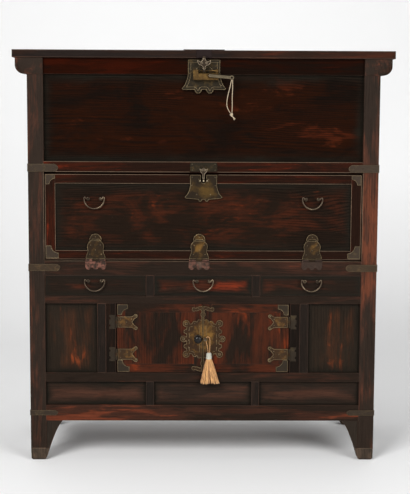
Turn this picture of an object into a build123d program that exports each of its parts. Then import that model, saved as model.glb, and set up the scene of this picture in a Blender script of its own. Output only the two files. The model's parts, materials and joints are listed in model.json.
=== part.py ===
from build123d import *
import os
from math import cos, pi, radians, sin, tan

# A Korean half-closing chest (bandaji) on four bracketed legs. From top to bottom it holds a
# lidded coin well, a drop-front compartment, three drawers and a two-door cupboard.
# Millimetres, +Z up, front towards -Y, origin on the floor under the middle of the chest.

# ---------------------------------------------------------------- driving dimensions
TOP_WIDTH = 1100.0
TOP_THICK = 22.4
HEIGHT = 1206.0
BODY_WIDTH = 1017.0
BODY_DEPTH = 440.0
FRONT = -212.5  # front face of the posts
BACK = FRONT + BODY_DEPTH

POST_WIDTH = 45.5
POST_DEPTH = 42.0
FOOT_HEIGHT = 36.0
FOOT_FLARE = 9.0  # how far a foot's top and the tip of each wing stand out past the leg
BRACKET_REACH = 49.0
BRACKET_THICK = 22.0
BEARER_OUT = 542.0
BEARER_ROUND = 26.0

# lower and upper edges of the front rails
BASE_RAIL = (120.0, 166.5)
SILL_RAIL = (237.5, 264.5)
DRAWER_RAIL = (471.0, 493.0)
HINGE_RAIL = (555.0, 597.0)
LOCK_RAIL = (856.0, 887.0)
CROWN_RAIL = (1137.0, 1183.2)

RAIL_DEPTH = 34.0
SIDE_RAIL_DEPTH = 26.0
PANEL_THICK = 9.0
WELL_SUNK = 14.0  # how far the panels lie behind the face of the posts
PANEL_SUNK = 10.0
SIDE_SUNK = 7.0
GROOVE = 6.0
TENON = 20.0
TENON_THICK = 12.0
TENON_SHOULDER = 5.0
FLOOR_THICK = 12.0

DIVIDER = (144.0, 167.0)
STILE = (285.0, 310.0)
JAMB = (256.1, 285.0)

BRASS = 1.6  # sheet brass of plates, straps and hinge leaves
KNUCKLE = 3.2  # hinge knuckle radius
PIN = 1.5
PIN_PLAY = 0.1
GAP = 0.4  # between knuckles and between pieces that move past each other

# ---------------------------------------------------------------- sizes that follow
HALF = BODY_WIDTH / 2
INNER = HALF - POST_WIDTH
BOARD_BOTTOM = HEIGHT - TOP_THICK - GAP
BEARER_BOTTOM = CROWN_RAIL[0] - 0.5
BEARER_TOP = BOARD_BOTTOM
BOARD_FRONT = FRONT - 6
BOARD_BACK = BACK + 4
LID_AXIS = (FRONT + 205, HEIGHT + KNUCKLE)

DOOR_FACE = FRONT + 2
DROP = dict(x=460.0, z=(601.0, 850.0), thick=20.0, stile=30.0, rail=27.0)
DROP_AXIS = (FRONT - KNUCKLE, HINGE_RAIL[1] + 2.5)
DROP_HINGES = (-314.0, -12.0, 318.0)
DOOR = dict(x=(1.0, 252.9), z=(266.0, 469.5), thick=18.0, stile=25.0)
DOOR_AXIS_X = 254.5
DOOR_HINGES = (320.0, 416.0)
DRAWER_Z = (494.0, 554.0)
DRAWER_X = {
    "left_drawer": (-INNER + 1, -DIVIDER[1] - 1),
    "middle_drawer": (-DIVIDER[0] + 1, DIVIDER[0] - 1),
    "right_drawer": (DIVIDER[1] + 1, INNER - 1),
}
DRAWER_FACE = FRONT + 2

EYE_OUT = 4.2
EYE_HOLE = 2.5
BAR = 2.1
LOCK_EYES = 12.5
LOCK_BAR = (FRONT - 6.5, 1148.0)  # y and z of the padlock's bar
LID_HASP_AXIS = (BOARD_FRONT - BRASS - 2.6, 1186.0)
RAIL_HASP_AXIS = (FRONT - 4.6, 872.0)
DROP_EYES = 10.3
DROP_EYE_Z = 832.0
NOTCH = 7.5

# padlock: the barrel, the end plate beside it and the key's slope, size and hooked end
CASE_X = (-16.6, 41.0)
CASE_Z = (1121.0, 1140.5)
CASE_HALF = 8.0
UPRIGHT_X = (-31.0, -17.0)
KEY_SLOPE = 5.0
KEY_HALF = 4.2
KEY_LENGTH = 61.0
KEY_AT = (14.0, 1134.0)

BAIL_SPREAD = 18.5
BAIL_RADIUS = 29.4
BAIL_RISE = 1.6  # centre of the crescent above the line through the posts
BAIL_WIRE = 2.1
BAIL_OUT = 9.5
BAIL_HOOK = [(-4.5, 0), (3.4, 0), (5.4, 3.2), (6.7, 5.7), (9.6, 5.7)]
BAIL_CHORDS = 14
DROP_BAIL_Z = 778.0
DRAWER_BAIL_Z = 536.5
BAIL_X = 317.0

PLATE_CENTRE_Z = 366.0
KNOB_X = -14.0
TASSEL_EYE = (7.0, DOOR_FACE - 9.0)  # x and y of the ring that holds the tassel

# routes of the key's string and of the tassel's cord, point by point
STRING = 2.4  # diameters of the two cords
TASSEL_CORD = 2.2
CORD_SIDES = 8
STRING_Y = LOCK_BAR[0] - CASE_HALF + 0.5

STRING_LEFT = [
    (78.6, STRING_Y, 1121.6), (74.6, STRING_Y - 1, 1102), (68.2, STRING_Y, 1078),
    (64.6, STRING_Y + 2, 1054), (68.4, STRING_Y + 2, 1038), (75.5, STRING_Y + 1, 1028),
]
STRING_RIGHT = [
    (81.6, STRING_Y, 1121.8), (82.2, STRING_Y + 1, 1098), (80.6, STRING_Y + 2, 1073),
    (81.4, STRING_Y + 2, 1049), (80.6, STRING_Y + 1, 1028),
]
CORD_Y = TASSEL_EYE[1]
CORD_END = 280.0  # the loop runs on inside the tassel
TASSEL_X = 17.8
CORD_LOOP = [
    (9.8, CORD_Y, 371.3), (12.9, CORD_Y - 0.5, 373.9), (17, CORD_Y - 1, 373.7), (19.9, CORD_Y - 1.5, 370.4),
    (20.7, CORD_Y - 2.2, 364), (20.8, CORD_Y - 3.4, 353), (20.2, CORD_Y - 4.6, 340), (19.9, CORD_Y - 6, 322),
    (19.5, CORD_Y - 6.4, CORD_END),
]
CORD_RETURN = [
    (9.6, CORD_Y, 360.9), (11.4, CORD_Y - 2, 352.5), (14.6, CORD_Y - 4, 341), (15.8, CORD_Y - 6, 327),
]


# ---------------------------------------------------------------- helpers
def block(x, y, z):
    """A board between two values on each axis."""
    size = [b - a for a, b in (x, y, z)]
    middle = [(a + b) / 2 for a, b in (x, y, z)]
    return Pos(*middle) * Box(*size)


def mirrored(part):
    """The same piece on the other side of the chest."""
    return mirror(part, about=Plane.YZ)


def pair(part):
    return [part, mirrored(part)]


def cut(part, others):
    """The part with its mortises and grooves: all that its neighbours reach into it."""
    box = part.bounding_box()
    for other in others:
        far = other.bounding_box()
        apart = any(
            (box.min.X >= far.max.X, far.min.X >= box.max.X, box.min.Y >= far.max.Y,
             far.min.Y >= box.max.Y, box.min.Z >= far.max.Z, far.min.Z >= box.max.Z)
        )
        if not apart:
            part = part - other
    return part.solid() if isinstance(part, ShapeList) else part


def sheet(face, back, thick=BRASS):
    """A face drawn in X and Z, made into sheet metal that stands forward of y = back."""
    return extrude(Plane.XZ.offset(-back) * face, thick)


def outline(*points):
    """A straight-sided face through points in X and Z."""
    return make_face(Polyline(*points, close=True))


def rod_x(radius, x, y, z):
    """A round bar along X."""
    length = x[1] - x[0]
    return Pos((x[0] + x[1]) / 2, y, z) * Rot(0, 90, 0) * Cylinder(radius, length)


def eye(x, y, z, width=4.2, out=EYE_OUT, hole=EYE_HOLE):
    """A ring whose hole runs along X."""
    span = (x - width / 2, x + width / 2)
    return rod_x(out, span, y, z) - rod_x(hole, (span[0] - 1, span[1] + 1), y, z)


# ---------------------------------------------------------------- frame
def rail_x(z, y, half=INNER, tenon=TENON, lip=None):
    """A rail from side to side, with a tenon at each end and an optional stop lip."""
    rail = block((-half, half), y, z)
    middle = y[0] + 17 if y[0] < 0 else y[1] - 14
    tongue = (middle - TENON_THICK / 2, middle + TENON_THICK / 2)
    shoulders = (z[0] + TENON_SHOULDER, z[1] - TENON_SHOULDER)
    rail += block((-half - tenon, half + tenon), tongue, shoulders)
    if lip:
        rail += block((-half, half), (y[0] + 23, y[1]), lip)
    return rail


def front_rails():
    """Six rails; the one over the drop-front and those round the doors carry stop lips."""
    y = (FRONT, FRONT + RAIL_DEPTH)
    return [
        rail_x(CROWN_RAIL, (FRONT + 6, FRONT + RAIL_DEPTH)),
        rail_x(LOCK_RAIL, y, lip=(LOCK_RAIL[0] - 10, LOCK_RAIL[0])),
        rail_x(HINGE_RAIL, y),
        rail_x(DRAWER_RAIL, y, lip=(DRAWER_RAIL[0] - 7, DRAWER_RAIL[0])),
        rail_x(SILL_RAIL, y, lip=(SILL_RAIL[1], SILL_RAIL[1] + 6)),
        rail_x(BASE_RAIL, y),
    ]


def back_rails():
    y = (BACK - SIDE_RAIL_DEPTH, BACK)
    levels = (CROWN_RAIL, LOCK_RAIL, HINGE_RAIL, DRAWER_RAIL, SILL_RAIL, BASE_RAIL)
    return [rail_x(z, y, tenon=TENON - 6) for z in levels]


def side_rails():
    """Four rails on each side, between the front and the back post."""
    rails = []
    y = (FRONT + POST_DEPTH, BACK - POST_DEPTH)
    reach = (y[0] - TENON_THICK, y[1] + TENON_THICK)
    for z in (LOCK_RAIL, HINGE_RAIL, SILL_RAIL, BASE_RAIL):
        rail = block((HALF - SIDE_RAIL_DEPTH, HALF), y, z)
        shoulders = (z[0] + TENON_SHOULDER, z[1] - TENON_SHOULDER)
        rail += block((HALF - 20, HALF - 8), reach, shoulders)
        rails += pair(rail)
    return rails


def panel_spans(*levels):
    """Heights of the panels between the given rails, with their tongues."""
    return [(low[1] - GROOVE, high[0] + GROOVE) for low, high in zip(levels, levels[1:])]


def front_panels():
    """The panel of the coin well, those beside the doors and three under the sill."""
    well_y = (FRONT + WELL_SUNK, FRONT + WELL_SUNK + PANEL_THICK)
    side_y = (FRONT + PANEL_SUNK, FRONT + PANEL_SUNK + PANEL_THICK)
    well_z = (LOCK_RAIL[1] - GROOVE, CROWN_RAIL[0] + GROOVE)
    side_z = (SILL_RAIL[1] - GROOVE, DRAWER_RAIL[0] + GROOVE)
    base_z = (BASE_RAIL[1] - GROOVE, SILL_RAIL[0] + GROOVE)
    middle = DIVIDER[0] + GROOVE
    return [
        block((-INNER - GROOVE, INNER + GROOVE), well_y, well_z),
        *pair(block((STILE[1] - GROOVE, INNER + GROOVE), side_y, side_z)),
        *pair(block((DIVIDER[1] - GROOVE, INNER + GROOVE), side_y, base_z)),
        block((-middle, middle), side_y, base_z),
    ]


def side_panels():
    y = (FRONT + POST_DEPTH - GROOVE, BACK - POST_DEPTH + GROOVE)
    x = (HALF - SIDE_SUNK - PANEL_THICK, HALF - SIDE_SUNK)
    spans = panel_spans(BASE_RAIL, SILL_RAIL, HINGE_RAIL, LOCK_RAIL, CROWN_RAIL)
    return [p for z in spans for p in pair(block(x, y, z))]


def back_panels():
    y = (BACK - SIDE_SUNK - PANEL_THICK, BACK - SIDE_SUNK)
    spans = panel_spans(BASE_RAIL, SILL_RAIL, DRAWER_RAIL, HINGE_RAIL, LOCK_RAIL, CROWN_RAIL)
    return [block((-INNER - GROOVE, INNER + GROOVE), y, z) for z in spans]


def upright(x, y, z):
    """A short post between two rails, with a stub tenon at each end."""
    post = block(x, y, z)
    x = (x[0] + 6, x[1] - 6)
    return post + block(x, (FRONT + 11, FRONT + 21), (z[0] - 8, z[1] + 8))


def front_uprights():
    """Dividers of the drawers and of the base, stiles of the cupboard and its door jambs."""
    y = (FRONT, FRONT + 30)
    doorway = (SILL_RAIL[1], DRAWER_RAIL[0])
    posts = pair(upright(DIVIDER, y, (DRAWER_RAIL[1], HINGE_RAIL[0])))
    posts += pair(upright(DIVIDER, y, (BASE_RAIL[1], SILL_RAIL[0])))
    posts += pair(upright(STILE, (FRONT, FRONT + 23), doorway))
    posts += pair(block(JAMB, (DOOR_FACE, FRONT + 23), doorway))
    return posts


def floor_board(top, x_reach):
    """A floor notched round the posts and let into the front and the back rail."""
    z = (top - FLOOR_THICK, top)
    y = (FRONT + RAIL_DEPTH - GROOVE, BACK - SIDE_RAIL_DEPTH + GROOVE)
    between = (FRONT + POST_DEPTH, BACK - POST_DEPTH)
    return block((-INNER, INNER), y, z) + block((-x_reach, x_reach), between, z)


def floor_boards():
    """Floors of the coin well, of the drop-front compartment, drawers and cupboard."""
    to_rails = HALF - SIDE_RAIL_DEPTH
    to_panels = HALF - SIDE_SUNK - PANEL_THICK
    return [
        floor_board(LOCK_RAIL[1] - 2, to_rails),
        floor_board(HINGE_RAIL[1] - 2, to_rails),
        floor_board(DRAWER_RAIL[1], to_panels),
        floor_board(SILL_RAIL[1], to_rails),
    ]


def drawer_guides():
    """Two walls between the drawers and a strip outside each outer drawer."""
    back = BACK - SIDE_RAIL_DEPTH
    under = HINGE_RAIL[1] - 2 - FLOOR_THICK
    wall = block((DIVIDER[0] + 2, DIVIDER[1] - 2), (FRONT + RAIL_DEPTH, back), (DRAWER_RAIL[1], under))
    strip_y = (FRONT + POST_DEPTH, BACK - POST_DEPTH)
    strip = block((INNER, INNER + 16), strip_y, (DRAWER_RAIL[1], DRAWER_RAIL[1] + 28))
    return pair(wall) + pair(strip)


def bearers():
    """Two bearers under the ends of the top, each with a rounded lower outer corner."""
    bearer = block((INNER, BEARER_OUT), (FRONT - 2, BACK), (BEARER_BOTTOM, BEARER_TOP))
    corner = bearer.edges().filter_by(Axis.Y).sort_by(lambda e: e.center().Z - e.center().X)[0]
    return pair(fillet(corner, BEARER_ROUND))


def posts():
    front = block((INNER, HALF), (FRONT, FRONT + POST_DEPTH), (FOOT_HEIGHT, BEARER_BOTTOM))
    back = block((INNER, HALF), (BACK - POST_DEPTH, BACK), (FOOT_HEIGHT, BEARER_BOTTOM))
    return pair(front) + pair(back)


def foot_blocks():
    """Feet with a small bevelled sole that flare up to the width of the leg and its wings."""
    sole = Pos(POST_WIDTH / 2 - 0.5, POST_DEPTH / 2 - 0.5) * Rectangle(POST_WIDTH - 3, POST_DEPTH - 3)
    width, depth = POST_WIDTH + FOOT_FLARE, POST_DEPTH + FOOT_FLARE
    top = Pos(width / 2, depth / 2, FOOT_HEIGHT) * Rectangle(width, depth)
    foot = loft([sole, top], ruled=True)
    foot = chamfer(foot.faces().sort_by(Axis.Z)[0].edges(), 5)
    front = Pos(-HALF, FRONT, 0) * foot
    back = Pos(-HALF, BACK, 0) * mirror(foot, about=Plane.XZ)
    return pair(front) + pair(back)


def bracket_face():
    """The wing between a leg and the rail above it, drawn away from the leg at x = 0."""
    top, foot, tip = BASE_RAIL[0], FOOT_HEIGHT, FOOT_FLARE
    curve = Spline((BRACKET_REACH, top), (34, 97), (21, 67), (tip, foot))
    return make_face(curve + Polyline((tip, foot), (0, foot), (0, top), (BRACKET_REACH, top)))


def leg_brackets():
    wing = bracket_face()
    wings = []
    for y in (FRONT + BRACKET_THICK + 2, BACK - 2):
        along = extrude(Plane.XZ.offset(-y) * wing, BRACKET_THICK)
        wings += pair(Pos(-INNER, 0, 0) * along)
    side = extrude(Plane.YZ.offset(HALF - BRACKET_THICK - 2) * wing, BRACKET_THICK)
    front = Pos(0, FRONT + POST_DEPTH, 0) * side
    back = Pos(0, BACK - POST_DEPTH, 0) * mirror(side, about=Plane.XZ)
    return wings + pair(front) + pair(back)


def top_boards():
    """The fixed rear half of the top, and the front half that is the lid."""
    split = LID_AXIS[0]
    span = (-TOP_WIDTH / 2, TOP_WIDTH / 2)
    rear = block(span, (split + 1, BOARD_BACK), (BOARD_BOTTOM, HEIGHT))
    lid = block(span, (BOARD_FRONT, split - 1), (BOARD_BOTTOM + GAP, HEIGHT))
    nosing = lid.faces().sort_by(Axis.Y)[0].edges().filter_by(Axis.X)
    return rear, chamfer(nosing, 1.5)


# ---------------------------------------------------------------- brasswork
def hinge(width, centre_face, outer_face, radius=KNUCKLE):
    """A hinge whose pin lies along X through the origin, with sheet leaves behind the pin.

    The centre leaf goes up and holds the middle knuckle; the outer leaf goes down, with a
    knuckle at each end and the pin. The leaves lie against a surface at y = radius.
    """
    third = width / 6
    middle = (-third + GAP / 2, third - GAP / 2)
    outer = ((-width / 2, -third - GAP / 2), (third + GAP / 2, width / 2))
    clear = radius + GAP
    plane = (radius - BRASS, radius)

    def leaf(face, spans, side, play):
        band = (clear * side, 400 * side) if side > 0 else (400 * side, clear * side)
        part = sheet(face, radius) & block((-400, 400), (-20, 20), band)
        for span in spans:
            reach = (0, clear) if side > 0 else (-clear, 0)
            part += block(span, plane, reach) + rod_x(radius, span, 0, 0)
        hole = rod_x(PIN + play, (-width, width), 0, 0)
        return (part - hole).solid()

    centre = leaf(centre_face, [middle], 1, PIN_PLAY)
    outside = leaf(outer_face, outer, -1, 0.02)
    return centre, outside, rod_x(PIN, (-width / 2, width / 2), 0, 0)


def drop_leaf_face():
    """Ogee leaf with a bell-shaped head, standing on the hinge line."""
    body = [(29, 0), (27, 14), (23, 27), (25, 40), (19, 53), (7, 58)]
    side = Spline(*body)
    neck = Line((7, 58), (0, 58))
    half = make_face(side + neck + Polyline((0, 58), (0, 0), (29, 0)))
    head = Pos(0, 60) * Circle(17.5) & Pos(0, 70) * Rectangle(40, 20)
    head += Pos(12.6, 61) * Circle(5.4) + Pos(-12.6, 61) * Circle(5.4)
    head -= Pos(8, 57.5) * Circle(3) + Pos(-8, 57.5) * Circle(3)
    return half + mirror(half, about=Plane.YZ) + head


def drop_lower_face():
    """Lower leaf with three scallops along its lower edge."""
    face = Pos(0, -11) * Rectangle(61, 22)
    return face + [Pos(x, -21) * Circle(7.5) for x in (-21.5, 0, 21.5)]


def drop_hinges():
    centre, outside, pin = hinge(58, drop_leaf_face(), drop_lower_face())
    places = [Pos(x, *DROP_AXIS) for x in DROP_HINGES]
    upper = [place * centre for place in places]
    lower = [place * piece for place in places for piece in (outside, pin)]
    return upper, lower


def door_leaf_face():
    """Swallow-tailed leaf with a scroll on each tip, standing on the hinge line."""
    half = Polyline((0, 0), (16.5, 0), (16.5, 44), (23, 57), (15, 62), (9, 54), (0, 47))
    half = make_face(half + Line((0, 47), (0, 0)))
    face = half + mirror(half, about=Plane.YZ)
    face += [Pos(x, 57) * Circle(6) for x in (-18, 18)]
    return face - [Pos(x, 57.5) * Circle(1.6) for x in (-18.5, 18.5)]


def jamb_leaf_face():
    face = Pos(0, -10.5) * Rectangle(42, 21)
    return face - [Pos(x, -21) * Circle(4) for x in (-10.5, 10.5)]


def door_hinges(side):
    """Two hinges of one door, which lies on the given side of the middle."""
    centre, outside, pin = hinge(33, door_leaf_face(), jamb_leaf_face())
    leaves, jambs = [], []
    for z in DOOR_HINGES:
        place = Pos(side * DOOR_AXIS_X, DOOR_FACE - KNUCKLE, z) * Rot(0, -90 * side, 0)
        leaves.append(place * centre)
        jambs += [place * outside, place * pin]
    return leaves, jambs


def lid_hinges():
    """Two strap hinges that lie on the top, between its rear half and the lid."""
    strap = Pos(0, 45) * Rectangle(30, 90) + Pos(0, 90) * Circle(15)
    centre, outside, pin = hinge(30, strap, mirror(strap, about=Plane.XZ))
    fixed, moving = [], []
    for x in (-300, 300):
        place = Pos(x, *LID_AXIS) * Rot(-90, 0, 0)
        fixed += [place * centre]
        moving += [place * outside, place * pin]
    return fixed, moving


def strap_end(height, length, width=BRASS):
    """One corner strap on the right, from its pointed end round on to the side."""
    h, reach = height / 2, length - 16
    point = ThreePointArc((-reach, h), (-length + 3, h * 0.55), (-length, 0))
    point += ThreePointArc((-length, 0), (-length + 3, -h * 0.55), (-reach, -h))
    face = make_face(point + Polyline((-reach, -h), (width, -h), (width, h), (-reach, h)))
    front = sheet(face, 0, width)
    side_face = Pos(34, 0) * Rectangle(68, height) + Pos(68, 0) * Circle(h)
    side = extrude(Plane.YZ * side_face, width)
    return front + side


def corner_straps():
    """Straps that tie the lock, the hinge and the base rail to the posts."""
    straps = []
    for z, height, length in ((868, 23, 88), (577, 21, 92), (144, 16, 82)):
        straps += pair(Pos(HALF, FRONT, z) * strap_end(height, length))
    return straps


def corner_plate(size, corner, y):
    """A corner plate with a scooped inner corner; corner gives its outer point and turn."""
    x, z, turn_x, turn_z = corner
    face = Pos(size / 2, size / 2) * Rectangle(size, size)
    face -= Pos(size, size) * Circle(size * 0.56)
    face += Pos(size * 0.38, size * 0.38) * Circle(size * 0.13)
    plate = sheet(face, y, 1.2)
    if turn_x < 0:
        plate = mirror(plate, about=Plane.YZ)
    if turn_z < 0:
        plate = mirror(plate, about=Plane.XY)
    return Pos(x, 0, z) * plate


def bell_plate(top_half, foot_half, z_top, z_corner, z_lobe, lobe_x):
    """A lock plate that flares to two corners above a pair of lobes."""
    drop = z_top - z_corner
    side = Spline(
        (top_half, z_top - 0.45 * drop),
        (top_half + 0.2 * (foot_half - top_half), z_top - 0.7 * drop),
        (foot_half, z_corner),
        tangents=[(0, -1), (0.8, -0.6)],
    )
    lobe = z_lobe + lobe_x * 0.62
    lower = Polyline((foot_half, z_corner), (foot_half - 6, z_corner - 4), (lobe_x * 1.7, lobe), (0, lobe))
    upper = Polyline((0, lobe), (0, z_top), (top_half, z_top), (top_half, z_top - 0.45 * drop))
    half = make_face(side + lower + upper)
    face = half + mirror(half, about=Plane.YZ)
    return face + [Pos(x, z_lobe + lobe_x * 0.62) * Circle(lobe_x * 0.62) for x in (-lobe_x, lobe_x)]


def lid_lock_plate():
    """Plate on the crown rail, with the two eyes that the padlock's bar goes through."""
    back = FRONT + 6
    plate = sheet(bell_plate(46.5, 65.5, CROWN_RAIL[1] - 3, 1097, 1083, 17), back)
    y, z = LOCK_BAR
    for x in (-LOCK_EYES, LOCK_EYES):
        ring = eye(x, y, z)
        shank = block((x - 2.1, x + 2.1), (y + EYE_HOLE + 0.6, back - BRASS / 2), (z - 2, z + 2))
        plate += ring + shank
    return plate.solid()


def drop_lock_plate():
    """Plate on the drop-front, notched for the hasp, with an eye on each side of the notch."""
    face = bell_plate(39.3, 56.5, DROP["z"][1] - 0.5, 784, 771, 9.5)
    plate = sheet(face, FRONT) - notch_tool()
    for x in (-DROP_EYES, DROP_EYES):
        plate += eye(x, RAIL_HASP_AXIS[0], DROP_EYE_Z, width=4.6)
    return plate.solid()


def notch_tool():
    """The slot in the drop-front's upper edge that the hasp passes through."""
    low = DROP_EYE_Z - 6.5 + NOTCH
    slot = block((-NOTCH, NOTCH), (FRONT - 30, FRONT + 40), (low, 900))
    round_end = Pos(0, FRONT, low) * Rot(90, 0, 0) * Cylinder(NOTCH, 80)
    return slot + round_end


def rail_hasp_plate():
    """Plate on the lock rail with two knuckles and the pin that the lower hasp hangs from."""
    face = Pos(0, (LOCK_RAIL[0] + LOCK_RAIL[1]) / 2) * RectangleRounded(78.6, 26.5, 4)
    plate = sheet(face, FRONT)
    y, z = RAIL_HASP_AXIS
    for side in (-1, 1):
        span = sorted((side * 3.4, side * 7))
        foot = block(span, (y, FRONT - BRASS / 2), (z - 2.2, z + 2.2))
        plate += foot + rod_x(2.6, span, y, z)
    hole = rod_x(PIN + 0.02, (-20, 20), y, z)
    return [(plate - hole).solid(), rod_x(PIN, (-7, 7), y, z)]


def rail_hasp():
    """Lower hasp: a three-pointed head, a stem and an eye that hangs in the notch."""
    y, z = RAIL_HASP_AXIS
    crown = make_face(
        Spline((0, -5.5), (3.5, -3.6), (6, -7), (11, -4.4), (9.5, -13), (3.6, -19.5))
        + Polyline((3.6, -19.5), (2.6, DROP_EYE_Z - z + 3), (0, DROP_EYE_Z - z + 3), (0, -5.5))
    )
    holes = [Pos(x, -9.5) * Circle(1.3) for x in (-3.6, 3.6)]
    neck = Pos(0, -4) * Rectangle(5.6, 8)
    face = Pos(0, z) * (crown + mirror(crown, about=Plane.YZ) + neck - holes)
    hasp = sheet(face, y + 0.9, 1.8)
    hasp += rod_x(2.6, (-3, 3), y, z) + rod_x(EYE_OUT, (-3, 3), y, DROP_EYE_Z)
    hasp -= rod_x(PIN + PIN_PLAY, (-9, 9), y, z)
    return (hasp - rod_x(EYE_HOLE, (-9, 9), y, DROP_EYE_Z)).solid()


def lid_strap():
    """Strap plate on the lid that turns down over its edge and carries the upper hasp."""
    top = block((-59, 59), (BOARD_FRONT - BRASS, BOARD_FRONT + 62), (HEIGHT, HEIGHT + 2))
    apron = block((-22, 22), (BOARD_FRONT - BRASS, BOARD_FRONT), (BOARD_BOTTOM + GAP, HEIGHT + 2))
    y, z = LID_HASP_AXIS
    strap = top + apron
    for side in (-1, 1):
        span = sorted((side * 4.4, side * 11))
        strap += rod_x(2.6, span, y, z)
        strap += block(span, (y, BOARD_FRONT - BRASS / 2), (z - 2.2, z + 2.2))
    hole = rod_x(PIN + 0.02, (-30, 30), y, z)
    return [(strap - hole).solid(), rod_x(PIN, (-11, 11), y, z)]


def lid_hasp():
    """Upper hasp: a bat-shaped head on a neck, ending in front of the padlock's bar."""
    y, z = LID_HASP_AXIS
    tip = LOCK_BAR[1] - z
    wing = make_face(
        Spline((0, -11), (4.5, -7.5), (10, -12.5), (18.8, -8), (15, -21), (7, -24.5), (3.4, -30))
        + Polyline((3.4, -30), (3.4, tip), (0, tip), (0, -11))
    )
    eyes = [Pos(x, -16.5) * Circle(1.7) for x in (-7, 7)]
    neck = Pos(0, -6) * Rectangle(8, 14)
    face = wing + mirror(wing, about=Plane.YZ) + neck + Pos(0, tip) * Circle(4)
    hasp = sheet(Pos(0, z) * (face - eyes), y + 0.9, 1.8)
    hasp += rod_x(2.6, (-4, 4), y, z)
    hasp += Pos(0, y - 2, LOCK_BAR[1]) * Rot(90, 0, 0) * Cone(3.4, 1.8, 2.6)
    return (hasp - rod_x(PIN + PIN_PLAY, (-9, 9), y, z)).solid()


# ---------------------------------------------------------------- padlock and key

def padlock_case():
    """Brass barrel with an ear for the bar's free end and an open channel for the key."""
    y, z = LOCK_BAR
    case = block(CASE_X, (y - CASE_HALF, y + CASE_HALF), CASE_Z)
    case = chamfer(case.edges().filter_by(Axis.X), 2)
    ear = block((33, 41), (y - 4.6, y + 4.6), (CASE_Z[1] - 1, z)) + rod_x(4.6, (33, 41), y, z)
    case += ear - rod_x(BAR + 0.3, (30, 50), y, z)
    case -= block((CASE_X[0] - 1, 9), (y - 5.5, y + 5.5), (CASE_Z[0] + 3, CASE_Z[1] - 3))
    case -= block((9.5, 50), (y - CASE_HALF - 1, y - CASE_HALF + 5), (1125.4, 1138.8))
    return case.solid()


def padlock_shackle():
    """The bar, the end plate that joins it to the bolt, and the bolt with two leaf springs."""
    y, z = LOCK_BAR
    low, high = CASE_Z
    plate = block(UPRIGHT_X, (y - CASE_HALF, y + CASE_HALF), (low, z + 3.4))
    plate = chamfer(plate.edges().filter_by(Axis.X), 2)
    bolt_z = (low + high) / 2
    shackle = plate + rod_x(BAR, (UPRIGHT_X[0] + 2, 41), y, z)
    shackle += block((-18, 6), (y - 1.5, y + 1.5), (bolt_z - 3, bolt_z + 3))
    spring = outline((6, bolt_z), (4, bolt_z), (-10, bolt_z + 5.6), (-9.4, bolt_z + 6.2))
    leaf = extrude(Plane.XZ.offset(-y - 1.5) * spring, 3)
    shackle += leaf + mirror(leaf, about=Plane.XY.offset(bolt_z))
    return shackle.solid()


def padlock_key():
    """A channel-shaped shank with a hooked end in the lock and an eye for the string."""
    y = LOCK_BAR[0] - CASE_HALF
    shank = block((0, KEY_LENGTH), (y + 0.4, y + 2.4), (-KEY_HALF, KEY_HALF))
    for side in (-1, 1):
        edge = sorted((side * KEY_HALF, side * (KEY_HALF - 1.5)))
        shank += block((3, KEY_LENGTH), (y - 1.2, y + 2.4), edge)
    hook = Circle(KEY_HALF) - Circle(KEY_HALF - 1.7) - Pos(3, 0) * Rectangle(3, 4.4)
    shank += extrude(Plane.XZ.offset(-y - 2.4) * (Pos(3, 0) * hook), 3.6)
    ring = Circle(6.2) - Circle(3.2)
    shank += extrude(Plane.XZ.offset(-y - 1.8) * (Pos(KEY_LENGTH + 4.6, 0) * ring), 2.6)
    x, z = KEY_AT
    return (Pos(x, 0, z) * Rot(0, KEY_SLOPE, 0) * shank).solid()


# ---------------------------------------------------------------- handles, knob
def bail_path():
    """A crescent in X and Z whose ends hook over and run inwards through the two posts."""
    hook = [(BAIL_SPREAD + dx, z) for dx, z in BAIL_HOOK]
    steps = [pi * n / BAIL_CHORDS for n in range(BAIL_CHORDS + 1)]
    crescent = [(BAIL_RADIUS * cos(a), BAIL_RISE - BAIL_RADIUS * sin(a)) for a in steps]
    return hook + crescent + [(-x, z) for x, z in reversed(hook)]


def bail(x, face_y, z):
    """A forged handle of eight-sided wire."""
    path = Plane.XZ * Polyline(*bail_path())
    start = Plane((BAIL_SPREAD + BAIL_HOOK[0][0], 0, 0), z_dir=(1, 0, 0))
    wire = sweep(start * RegularPolygon(BAIL_WIRE, 8), path=path, transition=Transition.RIGHT)
    return Pos(x, face_y - BAIL_OUT, z) * wire


def bail_posts(x, face_y, z):
    """A post at each end of a bail: a twelve-sided rosette, a neck and an eye for the wire."""
    rosette = Pos(0, face_y, 0) * Rot(90, 0, 0) * extrude(RegularPolygon(8, 12), 1.2, taper=30)
    neck = block((-1.9, 1.9), (face_y - BAIL_OUT + 3.5, face_y - 0.5), (-2.2, 2.2))
    ring = RegularPolygon(5, 12) - RegularPolygon(BAIL_WIRE + 0.55, 8)
    ring = extrude(Plane.YZ.offset(-1.9) * ring, 3.8)
    post = (rosette + neck + Pos(0, face_y - BAIL_OUT, 0) * ring).solid()
    return [Pos(x + side, 0, z) * post for side in (-BAIL_SPREAD, BAIL_SPREAD)]


def door_knob():
    """Turned iron knob with a beaded base, on the left door."""
    base = [(0, 0), (13, 0), (13, 1.6), (5, 2.6), (4.4, 8)]
    head = [(8, 10.5), (10.3, 12.4), (10.3, 14.4), (7.4, 17.8), (0, 19.5)]
    face = outline(*base, *head)
    knob = revolve(Plane.XZ * face, Axis.Z)
    return Pos(KNOB_X, DOOR_FACE - BRASS, PLATE_CENTRE_Z) * Rot(90, 0, 0) * knob


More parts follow.
